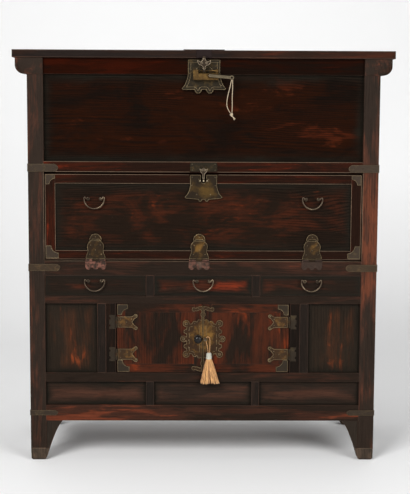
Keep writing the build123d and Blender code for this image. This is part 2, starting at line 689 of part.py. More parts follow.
def lock_plate_face():
    """Lobed plate with a flower on a stem above and below."""
    lobes = [(49, 46, 10.5), (57, 0, 10), (49, -46, 10.5), (50, 22, 7), (50, -22, 7)]
    lobes += [(24, 46, 8), (24, -46, 8), (10, 51, 7.5), (10, -51, 7.5)]
    face = RectangleRounded(98, 92, 16)
    for x, z, r in lobes:
        face += Pos(x, z) * Circle(r) + Pos(-x, z) * Circle(r)
    for turn in (1, -1):
        face += Pos(0, 68 * turn) * Rectangle(9, 48)
        face += Pos(0, 73 * turn) * Circle(8) + Pos(0, 91 * turn) * Circle(8.5)
        for side in (-1, 1):
            face += Pos(14 * side, 90 * turn) * Rot(0, 0, -24 * side * turn) * Ellipse(13, 6)
            face += Pos(27 * side, 88 * turn) * Circle(6.5)
    for x, z, _ in lobes[:3]:
        face -= Pos(x, z) * Circle(2.4) + Pos(-x, z) * Circle(2.4)
    return face


def lock_plate(side):
    """One door's half of the round plate."""
    x = (0.8, 100) if side > 0 else (-100, -0.8)
    whole = sheet(Pos(0, PLATE_CENTRE_Z) * lock_plate_face(), DOOR_FACE)
    return (whole & block(x, (-400, 400), (0, 600))).solid()


def tassel_eye():
    """A small ring on a shank, on the right door."""
    x, y = TASSEL_EYE
    ring = extrude(Plane.XZ.offset(-y - 1.1) * (Circle(5.4) - Circle(3)), 2.2)
    shank = block((-1.5, 1.5), (y, DOOR_FACE - BRASS), (-5.2, -2.4))
    shank += block((-1.5, 1.5), (y + 2.5, DOOR_FACE - BRASS), (-5.2, 1.5))
    return (Pos(x, 0, PLATE_CENTRE_Z) * (ring + shank)).solid()


# ---------------------------------------------------------------- leaves and boxes
def framed(x, z, y, stile, rail):
    """Two rails between two stiles, each rail with a tenon into the stiles."""
    inside = (x[0] + stile, x[1] - stile)
    tenon = (inside[0] - stile * 0.6, inside[1] + stile * 0.6)
    mid = (y[0] + y[1]) / 2
    rails = []
    for low, high in ((z[0], z[0] + rail), (z[1] - rail, z[1])):
        tongue = block(tenon, (mid - 3, mid + 3), (low + 6, high - 6))
        rails.append(block(inside, y, (low, high)) + tongue)
    stiles = [block((x[0], inside[0]), y, z), block((inside[1], x[1]), y, z)]
    return rails, stiles


def framed_panel(x, z, y, stile, rail, sunk):
    """The panel in such a frame, its face sunk behind the frame's."""
    edge = 7
    face = y[0] + sunk
    return block(
        (x[0] + stile - edge, x[1] - stile + edge), (face, face + 8), (z[0] + rail - edge, z[1] - rail + edge)
    )


def drop_front():
    """Frame, panel, corner plates, lock plate and bail posts of the drop-front."""
    x, z = (-DROP["x"], DROP["x"]), DROP["z"]
    y = (FRONT, FRONT + DROP["thick"])
    rails, stiles = framed(x, z, y, DROP["stile"], DROP["rail"])
    panel = framed_panel(x, z, y, DROP["stile"], DROP["rail"], 4)
    pieces = [cut(rail, [panel, notch_tool()]) for rail in rails]
    pieces += [cut(stile, rails + [panel]) for stile in stiles]
    corners = []
    for turn_x in (-1, 1):
        corners.append(corner_plate(29, (-turn_x * (DROP["x"] - 1), z[1] - 1, turn_x, -1), FRONT))
        corners.append(corner_plate(38, (-turn_x * (DROP["x"] - 1), z[0] + 3, turn_x, 1), FRONT))
    return pieces, panel, corners


def door(side):
    """Frame and panel of one cupboard door as five pieces, and its two corner plates."""
    x, z = DOOR["x"], DOOR["z"]
    y = (DOOR_FACE, DOOR_FACE + DOOR["thick"])
    rails, stiles = framed(x, z, y, DOOR["stile"], DOOR["stile"])
    panel = framed_panel(x, z, y, DOOR["stile"], DOOR["stile"], 0.8)
    pieces = [cut(rail, [panel]) for rail in rails] + [cut(stile, rails + [panel]) for stile in stiles]
    pieces.append(panel)
    edge = x[1] - 1
    corners = [corner_plate(32, (edge, z[1] - 1, -1, -1), DOOR_FACE)]
    corners.append(corner_plate(36, (edge, z[0] + 1, -1, 1), DOOR_FACE))
    if side < 0:
        pieces = [mirrored(piece) for piece in pieces]
        corners = [mirrored(piece) for piece in corners]
    return pieces, corners


def drawer(x):
    """Front, two sides, back and bottom of one drawer."""
    front_y = (DRAWER_FACE, DRAWER_FACE + 18)
    end = BACK - SIDE_RAIL_DEPTH - 12
    side_x = (x[0] + 2, x[0] + 12), (x[1] - 12, x[1] - 2)
    side_z = (DRAWER_Z[0], DRAWER_Z[1] - 6)
    inside = (x[0] + 12, x[1] - 12)
    front = block(x, front_y, DRAWER_Z)
    sides = [block(span, (front_y[1], end), side_z) for span in side_x]
    rear = block(inside, (end - 10, end), side_z)
    bottom = block(inside, (front_y[1], end - 10), (DRAWER_Z[0], DRAWER_Z[0] + 6))
    return [front, *sides, rear, bottom]


# ---------------------------------------------------------------- cords and tassel
def cord(points, diameter):
    """A cord along straight runs joined by arcs as large as the runs allow."""
    corners = [Vector(*p) for p in points]
    radii = []
    for a, b, c in zip(corners, corners[1:], corners[2:]):
        turn = (b - a).get_angle(c - b)
        radii.append(0.45 * min((b - a).length, (c - b).length) / tan(radians(turn / 2)))
    path = FilletPolyline(*corners, radius=radii)
    start = Plane(origin=corners[0], z_dir=corners[1] - corners[0])
    section = start * RegularPolygon(diameter / 2, CORD_SIDES)
    tube = sweep(section, path=path)
    share = tube.volume / (path.length * section.area)
    print(f"cord {path.length:.1f} mm, radii {[round(r, 1) for r in radii]}, volume share {share:.3f}")
    return tube


def key_strands():
    return [cord(STRING_LEFT, STRING), cord(STRING_RIGHT, STRING)]


def tassel_strands():
    return [cord(CORD_LOOP, TASSEL_CORD), cord(CORD_RETURN, TASSEL_CORD)]


def bulb(sections, sides=12):
    """A solid through many-sided rings, each given as height, half width, half depth, x and y."""
    rings = [Pos(x, y, z) * scale(RegularPolygon(1, sides), (a, b, 1)) for z, a, b, x, y in sections]
    return loft(rings, ruled=True)


def string_knot(strands):
    """Overhand knot with its short tail, round the ends of both strands."""
    y = STRING_Y + 1
    knot = bulb([(1016.5, 2.6, 2.4, 81.5, y), (1020, 4.6, 4, 80.6, y), (1025, 4.8, 4.2, 78.4, y),
                 (1028.5, 3.6, 2.8, 77.4, y)], 8)
    tail = Pos(86, y, 1012.5) * Rot(0, -38, 0) * extrude(RegularPolygon(1.6, 6), 7, both=True)
    return (knot + tail - strands).solid()


def tassel(strands):
    """Bound head, round the ends of both strands, and a skirt that hangs flattened."""
    x, y = TASSEL_X, CORD_Y - 6
    head = bulb([(317, 9, 7, x, y), (327, 8.4, 6.4, x, y)]) - strands
    skirt = bulb([(233, 30, 14, x + 3, y - 1), (266, 19.6, 11, x + 2.4, y - 1),
                  (300, 12, 8.4, x + 0.6, y - 1), (317, 9, 7, x, y - 1)])
    hole = block((x - 0.2, x + 3.6), (y - 1.9, y + 1.4), (CORD_END - 0.5, 320))
    return [head, skirt - hole]


# ---------------------------------------------------------------- assembly
def frame_nodes():
    """The fixed carcass: every tenon and tongue is cut out of the piece that holds it."""
    panels = {"front": front_panels(), "side": side_panels(), "back": back_panels()}
    every_panel = panels["front"] + panels["side"] + panels["back"]
    floors = floor_boards()
    uprights = front_uprights()
    front, back, side = front_rails(), back_rails(), side_rails()
    rails = front + back + side
    return {
        "posts": [cut(p, rails + every_panel) for p in posts()],
        "foot_blocks": foot_blocks(),
        "leg_brackets": leg_brackets(),
        "bearers": [cut(b, front[:1] + back[:1] + every_panel) for b in bearers()],
        "front_rails": [cut(r, every_panel + uprights + floors) for r in front],
        "back_rails": [cut(r, every_panel + floors) for r in back],
        "side_rails": [cut(r, every_panel) for r in side],
        "front_panels": panels["front"],
        "side_panels": panels["side"],
        "back_panels": panels["back"],
        "front_uprights": [cut(u, panels["front"]) for u in uprights],
        "floor_boards": floors,
        "drawer_guides": drawer_guides(),
        "corner_straps": corner_straps(),
    }


def all_nodes():
    nodes = frame_nodes()
    nodes["rear_top_board"], nodes["lid_board"] = top_boards()
    nodes["lid_hinge_fixed_leaves"], nodes["lid_hinge_moving_leaves"] = lid_hinges()
    nodes["lid_lock_plate"] = lid_lock_plate()
    nodes["lid_strap"] = lid_strap()
    nodes["lid_hasp"] = lid_hasp()
    nodes["padlock_case"] = padlock_case()
    nodes["padlock_shackle"] = padlock_shackle()
    nodes["padlock_key"] = padlock_key()
    nodes["key_string"] = key_strands()
    nodes["string_knot"] = string_knot(nodes["key_string"])

    nodes["drop_front_frame"], nodes["drop_front_panel"], nodes["drop_front_corners"] = drop_front()
    nodes["drop_front_hinge_leaves"], nodes["rail_hinge_leaves"] = drop_hinges()
    nodes["drop_lock_plate"] = drop_lock_plate()
    nodes["rail_hasp_plate"] = rail_hasp_plate()
    nodes["rail_hasp"] = rail_hasp()
    nodes["drop_bail_posts"] = []
    for name, x in (("left", -BAIL_X), ("right", BAIL_X)):
        nodes[f"drop_{name}_bail"] = bail(x, FRONT + 4, DROP_BAIL_Z)
        nodes["drop_bail_posts"] += bail_posts(x, FRONT + 4, DROP_BAIL_Z)

    for name, span in DRAWER_X.items():
        middle = {"left_drawer": -BAIL_X, "middle_drawer": 0, "right_drawer": BAIL_X}[name]
        nodes[name] = drawer(span)
        nodes[f"{name}_bail"] = bail(middle, DRAWER_FACE, DRAWER_BAIL_Z)
        nodes[f"{name}_bail_posts"] = bail_posts(middle, DRAWER_FACE, DRAWER_BAIL_Z)

    nodes["jamb_hinge_leaves"] = []
    for name, side in (("left_door", -1), ("right_door", 1)):
        nodes[name], nodes[f"{name}_corners"] = door(side)
        nodes[f"{name}_hinge_leaves"], jambs = door_hinges(side)
        nodes["jamb_hinge_leaves"] += jambs
        nodes[f"{name}_lock_plate"] = lock_plate(side)
    nodes["door_knob"] = door_knob()
    nodes["tassel_eye"] = tassel_eye()
    nodes["tassel_cord"] = tassel_strands()
    nodes["tassel"] = tassel(nodes["tassel_cord"])
    return nodes


os.makedirs("parts", exist_ok=True)
for node, pieces in all_nodes().items():
    solids = pieces if isinstance(pieces, (list, tuple)) else [pieces]
    solids = [solid for piece in solids for solid in piece.solids()]
    shape = solids[0] if len(solids) == 1 else Compound(children=solids)
    export_step(shape, f"parts/{node}.step")
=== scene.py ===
# %% [markdown]
# # A Korean half-closing chest in old lacquered wood and brass
# The chest stands on the floor with its front towards -Y, and everything is in metres. Its
# solids come from the imported frame: they are the right size and move with their bodies. What
# is made here is what the eye adds: softened arrises, the figure of each board, the patina of
# the brass, nails, beads, threads and cords.

# %% The frame, imported with its bodies
import json
from functools import partialmethod
from math import cos, pi, radians, sin

import bmesh
import bpy
import numpy as np
from mathutils import Matrix, Vector

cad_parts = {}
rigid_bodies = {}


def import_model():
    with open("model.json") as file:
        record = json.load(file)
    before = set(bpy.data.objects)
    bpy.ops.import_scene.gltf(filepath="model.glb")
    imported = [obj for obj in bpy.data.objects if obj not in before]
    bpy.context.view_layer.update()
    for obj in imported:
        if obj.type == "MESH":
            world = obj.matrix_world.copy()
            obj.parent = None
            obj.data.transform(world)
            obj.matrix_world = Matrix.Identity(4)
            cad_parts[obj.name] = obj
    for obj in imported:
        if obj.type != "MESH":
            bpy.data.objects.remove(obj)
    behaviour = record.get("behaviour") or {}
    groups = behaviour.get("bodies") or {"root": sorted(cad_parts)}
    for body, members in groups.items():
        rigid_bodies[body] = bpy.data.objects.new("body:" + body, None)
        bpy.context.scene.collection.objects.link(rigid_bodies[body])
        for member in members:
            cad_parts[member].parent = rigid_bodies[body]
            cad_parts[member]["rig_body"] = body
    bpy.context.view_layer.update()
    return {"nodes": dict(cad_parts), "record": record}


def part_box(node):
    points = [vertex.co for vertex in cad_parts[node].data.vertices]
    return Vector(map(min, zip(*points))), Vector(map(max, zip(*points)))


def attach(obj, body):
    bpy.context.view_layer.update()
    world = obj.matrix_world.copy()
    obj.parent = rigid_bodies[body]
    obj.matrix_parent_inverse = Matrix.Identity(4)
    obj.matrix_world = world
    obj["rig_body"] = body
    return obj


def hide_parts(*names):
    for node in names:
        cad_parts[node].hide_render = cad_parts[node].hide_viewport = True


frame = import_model()
MM = 0.001
SIDES = (-1, 1)

# %% [markdown]
# ## The camera
# A camera is a place, three directions and a lens. Writing the directions as the columns of
# a matrix says exactly where it looks: slightly to the right, six and a half degrees down,
# and turned a trace about its own axis. A long lens, well back, keeps the posts upright.

# %% Camera
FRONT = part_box("posts")[0].y
CAMERA_AT = Vector((-0.0446, FRONT - 3.4854, 1.0374))
LOOK_RIGHT, LOOK_DOWN, ROLL = 0.01425, 0.11390, 0.00470
LENS_PIXELS, LONG_SIDE, SENSOR = 1202, 494, 36


def placed(name, data):
    """A new object that holds the data, linked into the scene."""
    obj = bpy.data.objects.new(name, data)
    bpy.context.scene.collection.objects.link(obj)
    return obj


level = Vector((cos(LOOK_RIGHT), -sin(LOOK_RIGHT), 0))
ahead = Vector((sin(LOOK_RIGHT) * cos(LOOK_DOWN), cos(LOOK_RIGHT) * cos(LOOK_DOWN),
                -sin(LOOK_DOWN)))
above = level.cross(ahead)
right = level * cos(ROLL) + above * sin(ROLL)
upward = above * cos(ROLL) - level * sin(ROLL)
camera = placed("camera", bpy.data.cameras.new("camera"))
camera.data.sensor_width = SENSOR
camera.data.lens = LENS_PIXELS * SENSOR / LONG_SIDE
turn = Matrix((right, upward, -ahead)).transposed().to_4x4()
camera.matrix_world = Matrix.Translation(CAMERA_AT) @ turn
bpy.context.scene.camera = camera
print("lens", round(camera.data.lens, 2), "mm")

# %% [markdown]
# ## Two small cords
# The key hangs on a doubled string that ends in a knot, and the tassel hangs on a doubled
# silk cord from a ring on the right door. Each strand is a NURBS spline of the third order:
# it bends smoothly past the control points and needs no rounding of its own. The order is
# set after the points, because a spline can't have a higher order than it has points.
# Routes are in millimetres, with each Y counted from where the cord begins: the string in the
# front of the padlock's case, whose bar is 6.5 before the posts, and the silk at its ring, 9
# before the doors. The doors stand 2 behind the face of the posts.

# %% Routes of the strands, control point by control point
FACE = FRONT / MM
DOOR_FACE = FACE + 2
LOCK_BAR_Y, CASE_HALF = FACE - 6.5, 8.0
STRING_Y = LOCK_BAR_Y - CASE_HALF + 0.5
RING_Y = DOOR_FACE - 9
STRING_WIDTH, SILK_WIDTH = 2.4 * MM, 2.2 * MM
ROUTES = {
    "string_left": (STRING_Y, [(78.6, 0, 1121.6), (74.6, -1, 1102), (68.2, 0, 1078),
                               (64.6, 2, 1054), (68.4, 2, 1038), (75.5, 1, 1028)]),
    "string_right": (STRING_Y, [(81.6, 0, 1121.8), (82.2, 1, 1098), (80.6, 2, 1073),
                                (81.4, 2, 1049), (80.6, 1, 1028)]),
    "silk_loop": (RING_Y, [(9.8, 0, 371.3), (12.9, -0.5, 373.9), (17, -1, 373.7),
                           (19.9, -1.5, 370.4), (20.7, -2.2, 364), (20.8, -3.4, 353),
                           (20.2, -4.6, 340), (19.9, -6, 322), (19.5, -6.4, 280)]),
    "silk_return": (RING_Y, [(9.6, 0, 360.9), (11.4, -2, 352.5), (14.6, -4, 341),
                             (15.8, -6, 327)]),
}


def read(rows, field, kind=float):
    """One property of all rows of a mesh, as an array of three columns."""
    values = np.empty(len(rows) * 3, kind)
    rows.foreach_get(field, values)
    return values.reshape(-1, 3)


def route(name):
    """The control points of a strand in metres."""
    base, points = ROUTES[name]
    return [(x * MM, (base + y) * MM, z * MM) for x, y, z in points]


def smooth_line(points, samples=16):
    """The points of a NURBS spline of order 3 along a route, as Blender works them out."""
    data = bpy.data.curves.new("route", "CURVE")
    data.dimensions = "3D"
    data.resolution_u = samples
    spline = data.splines.new("NURBS")
    spline.points.add(len(points) - 1)
    spline.points.foreach_set("co", [v for point in points for v in (*point, 1)])
    spline.order_u = 3
    spline.use_endpoint_u = True
    holder = bpy.data.objects.new("route", data)
    line = read(bpy.data.meshes.new_from_object(holder).vertices, "co")
    bpy.data.objects.remove(holder)
    return line


print("control points:", {name: len(route(name)) for name in ROUTES})


# %% [markdown]
# ## Sweeping a section along a line
# A tube is a function of two parameters: how far along the line, and the angle round it.
# At each point of the line the tangent and a fixed reference direction give two directions
# across it, and the circle is drawn in those two. A turned piece is a circle too, whose
# radius follows a profile along a straight axis.

# %% Tubes and turned pieces
def unit(v):
    """Each row of v divided by its length."""
    return v / np.linalg.norm(v, axis=-1, keepdims=True)


def across(line, reference):
    """Two unit directions across a line, from its tangents and a reference direction."""
    tangent = unit(np.gradient(line, axis=0))
    first = unit(np.cross(tangent, reference))
    return first, np.cross(tangent, first)


def distances(line):
    """How far along a line each of its points is."""
    return np.concatenate([[0], np.cumsum(np.linalg.norm(np.diff(line, axis=0), axis=1))])


def points_at(line, along):
    """The points of a line at these distances along it."""
    return np.stack([np.interp(along, distances(line), column) for column in line.T], -1)


def circle(sides):
    """The points (cos a, sin a) of the unit circle at equal angles."""
    a = np.arange(sides) * 2 * pi / sides
    return np.stack([np.cos(a), np.sin(a)], -1)


def grid_faces(rows, columns):
    """Quads between neighbouring rows of a grid whose columns close on themselves."""
    r, c = np.meshgrid(np.arange(rows - 1), np.arange(columns), indexing="ij")
    here, right_of = r * columns + c, r * columns + (c + 1) % columns
    quads = np.stack([here, right_of, right_of + columns, here + columns], -1)
    return quads.reshape(-1, 4).tolist()


def capped(rows, sides):
    """The quads of a closed grid, and one flat face at each end."""
    ends = [list(range(sides)), list(range((rows - 1) * sides, rows * sides))[::-1]]
    return [face[::-1] for face in grid_faces(rows, sides)] + ends


def tube(line, radius, sides, reference=(0, 1, 0)):
    """Points line(s) + radius(s) * (cos(a) first(s) + sin(a) second(s)), with flat ends."""
    first, second = across(line, reference)
    ring = circle(sides) * np.broadcast_to(radius, len(line))[:, None, None]
    points = line[:, None] + ring[..., :1] * first[:, None] + ring[..., 1:] * second[:, None]
    return points.reshape(-1, 3), capped(len(line), sides)


def turned(profile, centre, sides):
    """A profile of (radius, height) turned about an axis that points to the front, -Y."""
    radius, height = np.array(profile, float).T * MM
    x, z = circle(sides).T[:, None] * radius[:, None]
    points = np.stack(np.broadcast_arrays(x, -height[:, None], z), -1)
    return points.reshape(-1, 3) + centre, capped(len(radius), sides)


# %% [markdown]
# ## From parts to a piece
# A piece is one mesh of several closed parts. Doubled points at the poles are merged before
# the faces are turned outwards, because a face can't be turned while its neighbour is loose.

# %% Meshes that ride on a body
def joined(parts):
    """Several (points, faces) put into one, with the face numbers moved on."""
    points, faces, count = [], [], 0
    for some, polygons in parts:
        points.append(some)
        faces += [[i + count for i in face] for face in polygons]
        count += len(some)
    return np.concatenate(points), faces


def surface(name, points, faces, *finishes):
    """A smooth mesh of these points and faces, with its finishes by name."""
    mesh = bpy.data.meshes.new(name)
    mesh.from_pydata(points.tolist(), [], faces)
    mesh.polygons.foreach_set("use_smooth", [True] * len(faces))
    for finish in finishes:
        mesh.materials.append(FINISHES[finish])
    return mesh


def outward(mesh):
    """Merges doubled points and turns every face of a closed mesh outwards."""
    work = bmesh.new()
    work.from_mesh(mesh)
    bmesh.ops.remove_doubles(work, verts=work.verts, dist=1e-7)
    bmesh.ops.recalc_face_normals(work, faces=work.faces)
    work.to_mesh(mesh)
    work.free()


def mount(name, mesh, body, node):
    """An object that rides on a body and, where a node is named, stands for its solids."""
    obj = placed(name, mesh)
    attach(obj, body)
    if node:
        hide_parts(node)
    return obj


def piece(name, parts, body, finish, node=None):
    """Closed parts, joined, turned outwards and mounted."""
    mesh = surface(name, *joined(parts), finish)
    outward(mesh)
    return mount(name, mesh, body, node)


def remember(mesh, name, rows, kind="FLOAT_VECTOR", field="vector"):
    """Stores one row for each point of a mesh, under the name that a finish reads."""
    layer = mesh.attributes.new(name, kind, "POINT")
    layer.data.foreach_set(field, np.asarray(rows, np.float32).ravel())


# %% [markdown]
# ## Wiring materials
# Each finish is a node tree. To keep the wiring readable, an output socket is wrapped in a
# small class that can be added and multiplied like a number: each sign adds a Math node.
# Finishes are kept by name, so that a piece can ask for "tassel_silk".

# %% Helpers for node trees
FINISHES = {}


class Value:
    """An output socket that can be reckoned with."""

    def __init__(self, tree, socket):
        self.tree, self.socket = tree, socket

    def math(self, operation, *others, clamp=False):
        """The output of one Math node on this value and the others."""
        sockets = dict(enumerate((self, *others)))
        return add(self.tree, "Math", sockets, operation=operation, use_clamp=clamp)

    __add__ = partialmethod(math, "ADD")
    __sub__ = partialmethod(math, "SUBTRACT")
    __mul__ = partialmethod(math, "MULTIPLY")
    __truediv__ = partialmethod(math, "DIVIDE")

    def __rsub__(self, number):
        """The number less this value."""
        return self.math("MULTIPLY_ADD", -1.0, number)

    def part(self, axis):
        """One of the three parts of a vector."""
        return add(self.tree, "SeparateXYZ", {0: self}, axis)

    def step(self, low, high):
        """0 at low and 1 at high, with a smooth rise between them."""
        sockets = {0: self, 1: low, 2: high, 3: 0.0, 4: 1.0}
        return add(self.tree, "MapRange", sockets, interpolation_type="SMOOTHSTEP")


def wire(tree, node, sockets):
    """Links values to sockets of a node, by name or number, and writes in plain numbers."""
    for key, value in sockets.items():
        if isinstance(value, Value):
            tree.links.new(value.socket, node.inputs[key])
        else:
            node.inputs[key].default_value = value


def add(tree, kind, sockets=(), output=0, **settings):
    """One output of a new node with these settings and sockets."""
    node = tree.nodes.new("ShaderNode" + kind)
    for name, value in settings.items():
        setattr(node, name, value)
    wire(tree, node, dict(sockets))
    return Value(tree, node.outputs[output])


def paint(code):
    """A colour code 0xRRGGBB, as a picker shows it, in the linear values of a shader."""
    s = np.array([code >> 16, code >> 8 & 255, code & 255]) / 255
    linear = np.where(s <= 0.04045, s / 12.92, ((s + 0.055) / 1.055) ** 2.4)
    return (*linear.tolist(), 1)


def mixed(tree, share, first, second, blend="MIX"):
    """The first colour going over to the second as share goes from 0 to 1."""
    return add(tree, "Mix", {0: share, 6: first, 7: second}, 2, data_type="RGBA", blend_type=blend)


def darkened(tree, colour, shade):
    """A colour multiplied by a number."""
    grey = add(tree, "CombineColor", {0: shade, 1: shade, 2: shade})
    return mixed(tree, 1.0, colour, grey, "MULTIPLY")


def cloud(vector, scale, detail, roughness=0.5, distortion=0.0):
    """Noise between 0 and 1 at a vector."""
    sockets = {"Vector": vector, "Scale": scale, "Detail": detail,
               "Roughness": roughness, "Distortion": distortion}
    return add(vector.tree, "TexNoise", sockets)


def bumped(height, strength, distance):
    """Normals tilted by a height."""
    return add(height.tree, "Bump", {"Height": height, "Strength": strength, "Distance": distance})


def attribute(tree, name, output="Vector"):
    """What the mesh holds at each of its points under this name."""
    return add(tree, "Attribute", output=output, attribute_name=name)


def world_place(tree):
    """Object coordinates: they are the world's, because every object sits at the origin."""
    return add(tree, "TexCoord", output="Object")


def away(a, b):
    """The root of a squared plus b squared."""
    return (a * a + b * b).math("SQRT")


def nearness(tree, x, z, reach_x, reach_z):
    """1 at a place of the front, falling to 0 on an ellipse round it."""
    world = world_place(tree)
    far = away((world.part(0) - x) / reach_x, (world.part(2) - z) / reach_z)
    return (1.0 - far).math("MAXIMUM", 0.0)


def new_material(name):
    """Puts a new material into FINISHES and gives its tree and its Principled shader."""
    FINISHES[name] = bpy.data.materials.new(name)
    FINISHES[name].use_nodes = True
    tree = FINISHES[name].node_tree
    return tree, tree.nodes["Principled BSDF"]


# %% [markdown]
# ## Old lacquered wood
# Growth rings cut by a saw show as contour lines of a slow bulge, so the figure is made the
# same way: a stretched noise plus the distance across the board, folded into thin lines.
# Every board carries its own coordinates in the attribute "grain": metres along it, across
# it and through it, with its own shift, so no two boards share a figure. "place" and "half"
# say how far a point is from the board's middle and how far the edges are, so that dirt and
# old lacquer can stay in the corners of a panel while its middle is rubbed red; the dark strip
# along a panel's edges is also painted shade of the recess it sits in. Each wood
# says its three tones, how much of it is rubbed and how much glows, and how many patches
# there are to a metre, along and across the grain.

# %% Wood
# The first colour darkens a panel's edges: old lacquer and grime, and painted shade of the recess.
EDGE_GRIME_AND_SHADE, RING_LINE, PORE = (paint(code) for code in (0x1c1914, 0x0c0907, 0x0a0806))


def wood(name, tones, rub=0.5, glowing=0.5, patches=(2.6, 10), lines=0.3, gap=8.0, swoop=10.0,
         border=0.0, gloss=0.5, worn_at=None, relief=0.3, shine=0.03):
    """Lacquered wood: dark lacquer, warm where it is rubbed, glowing where it is bare."""
    tree, shader = new_material(name)
    dark, warm, glow = (paint(tone) for tone in tones)
    grain = attribute(tree, "grain")

    def noise(along, wide, *form, shift=(0, 0, 0)):
        """Noise on the board's own coordinates, drawn out along the grain."""
        scale = (along, wide, wide)
        own = add(tree, "Mapping", {"Vector": grain, "Scale": scale, "Location": shift})
        return cloud(own, 1.0, *form)

    figure = noise(1.1, 5, 2.0, 0.5, 0.5) * swoop + noise(8, 50, 2.0) * 1.2
    ring = (grain.part(1) * (1000 / gap) + figure).math("PINGPONG", 0.5).step(0.2, 0.42)
    clearer = noise(3, 9, 2.0, shift=(5, 2, 1)).step(0.35, 0.65)
    fibre = noise(14, 420, 3.0, 0.6)
    pores = noise(60, 1400, 1.0).step(0.6, 0.72)

    along, wide = patches
    patch = noise(along, wide, 5.0, 0.6, 0.5)
    wear = (noise(along * 2, wide * 8, 3.0, 0.55) - 0.5) * 0.35 + patch
    if worn_at:
        wear = nearness(tree, *worn_at) * 0.4 + wear
    rubbed = wear.step(0.62 - 0.3 * rub, 0.84 - 0.3 * rub)
    bare = (noise(along * 1.7, wide * 1.8, 4.0, 0.6, 0.9, shift=(3, 1, 2)) - 0.5) * 1.1 + wear
    bare = bare.step(0.82 - 0.34 * glowing, 1.04 - 0.34 * glowing)
    # A darker strip along a panel's edges: partly old lacquer, partly painted shade of the recess.
    if border:
        place, half = attribute(tree, "place"), attribute(tree, "half")
        gaps = [half.part(k) - place.part(k).math("ABSOLUTE") for k in (0, 1)]
        ragged = patch * (border * 5.0) - border * 2.2
        reach = (gaps[0].math("MINIMUM", gaps[1]) - ragged).step(border * -0.3, border * 2.4)
        dark = mixed(tree, reach, EDGE_GRIME_AND_SHADE, dark)
        rubbed, bare = rubbed * reach, bare * reach
    colour = mixed(tree, bare, mixed(tree, rubbed, dark, warm), glow)
    colour = mixed(tree, ring * clearer * lines, colour, mixed(tree, 0.8, colour, RING_LINE))
    colour = darkened(tree, colour, fibre * 0.9 + 0.43)
    wire(tree, shader, {
        "Base Color": mixed(tree, pores * 0.5, colour, PORE),
        "Roughness": fibre * 0.25 + (gloss - 0.1), "Specular IOR Level": shine,
        "Normal": bumped(fibre * 0.6 - ring * 0.3 - pores * 0.8, 0.5, relief * MM),
    })


wood("post_lacquer", (0x2b221c, 0x442b21, 0x5e3525), 0.5, 0.4, (6, 26), lines=0.4,
     worn_at=(0.49, 0.7, 0.34, 0.34))
wood("leg_lacquer", (0x2b241e, 0x34271f, 0x4e3023), 0.35, 0.3, (5, 22))
wood("foot_lacquer", (0x3a3129, 0x504237, 0x6e5644), 0.6, 0.45, (16, 44))
wood("rail_lacquer", (0x20120c, 0x36160c, 0x6c2513), 0.56, 0.45, (5, 30), shine=0.015)
wood("low_rail_lacquer", (0x241b15, 0x3a231a, 0x623120), 0.45, 0.3, (5, 26),
     worn_at=(-0.3, 0.14, 0.4, 0.08))
wood("upright_lacquer", (0x1f1915, 0x2b201a, 0x42291f), 0.5, 0.25, (5, 26))
wood("jamb_lacquer", (0x17110d, 0x22150e, 0x462012), 0.4, 0.25, (6, 26))
wood("top_lacquer", (0x1f1815, 0x291a13, 0x3e1f14), 0.45, 0.35, (3, 20),
     worn_at=(0.5, 1.2, 0.5, 0.2))
wood("crown_lacquer", (0x130a06, 0x1f0903, 0x2a0b03), 0.45, 0.35, (3, 20),
     worn_at=(-0.25, 1.16, 0.35, 0.1), shine=0.01)
wood("panel_lacquer", (0x130b07, 0x200d05, 0x3e190b), 0.95, 0.56, (5, 12), border=0.018, lines=0.9,
     gap=7.0, swoop=16.0, shine=0.01)
wood("drop_panel_lacquer", (0x1d140e, 0x381b10, 0x622a14), 0.64, 0.44, (7, 15), border=0.018,
     lines=0.8, swoop=16.0, shine=0.015)
wood("side_panel_lacquer", (0x261e17, 0x3a2418, 0x74361c), 0.56, 0.42, (5, 15), border=0.014,
     lines=0.5)
wood("base_panel_lacquer", (0x2a201a, 0x482e23, 0x643827), 0.75, 0.45, (4, 14), border=0.016)
wood("door_lacquer", (0x211812, 0x442114, 0x6c2d16), 0.72, 0.52, (5, 11), lines=0.5)
wood("drawer_lacquer", (0x211812, 0x482316, 0x7c2e18), 0.64, 0.42, (5, 16), border=0.012, lines=0.4,
     worn_at=(0.08, 0.512, 0.14, 0.05))
wood("plain_wood", (0x5c422e, 0x704e34, 0x7e5a3c), lines=0.4, gloss=0.62, shine=0.2)
# The paler arris: lacquer worn through, and painted highlight where an edge catches the light.
wood("worn_arris", (0x3c2d25, 0x54382a, 0x6e4834), lines=0.1, gloss=0.4, relief=0.1, shine=0.1)
# Pale beads: partly rubbed by use, partly painted highlight of the thin light lines.
wood("rubbed_bead", (0x645444, 0x76604e, 0x8a705c), lines=0.1, gloss=0.4, relief=0.1, shine=0.1)
print("woods:", len(FINISHES))
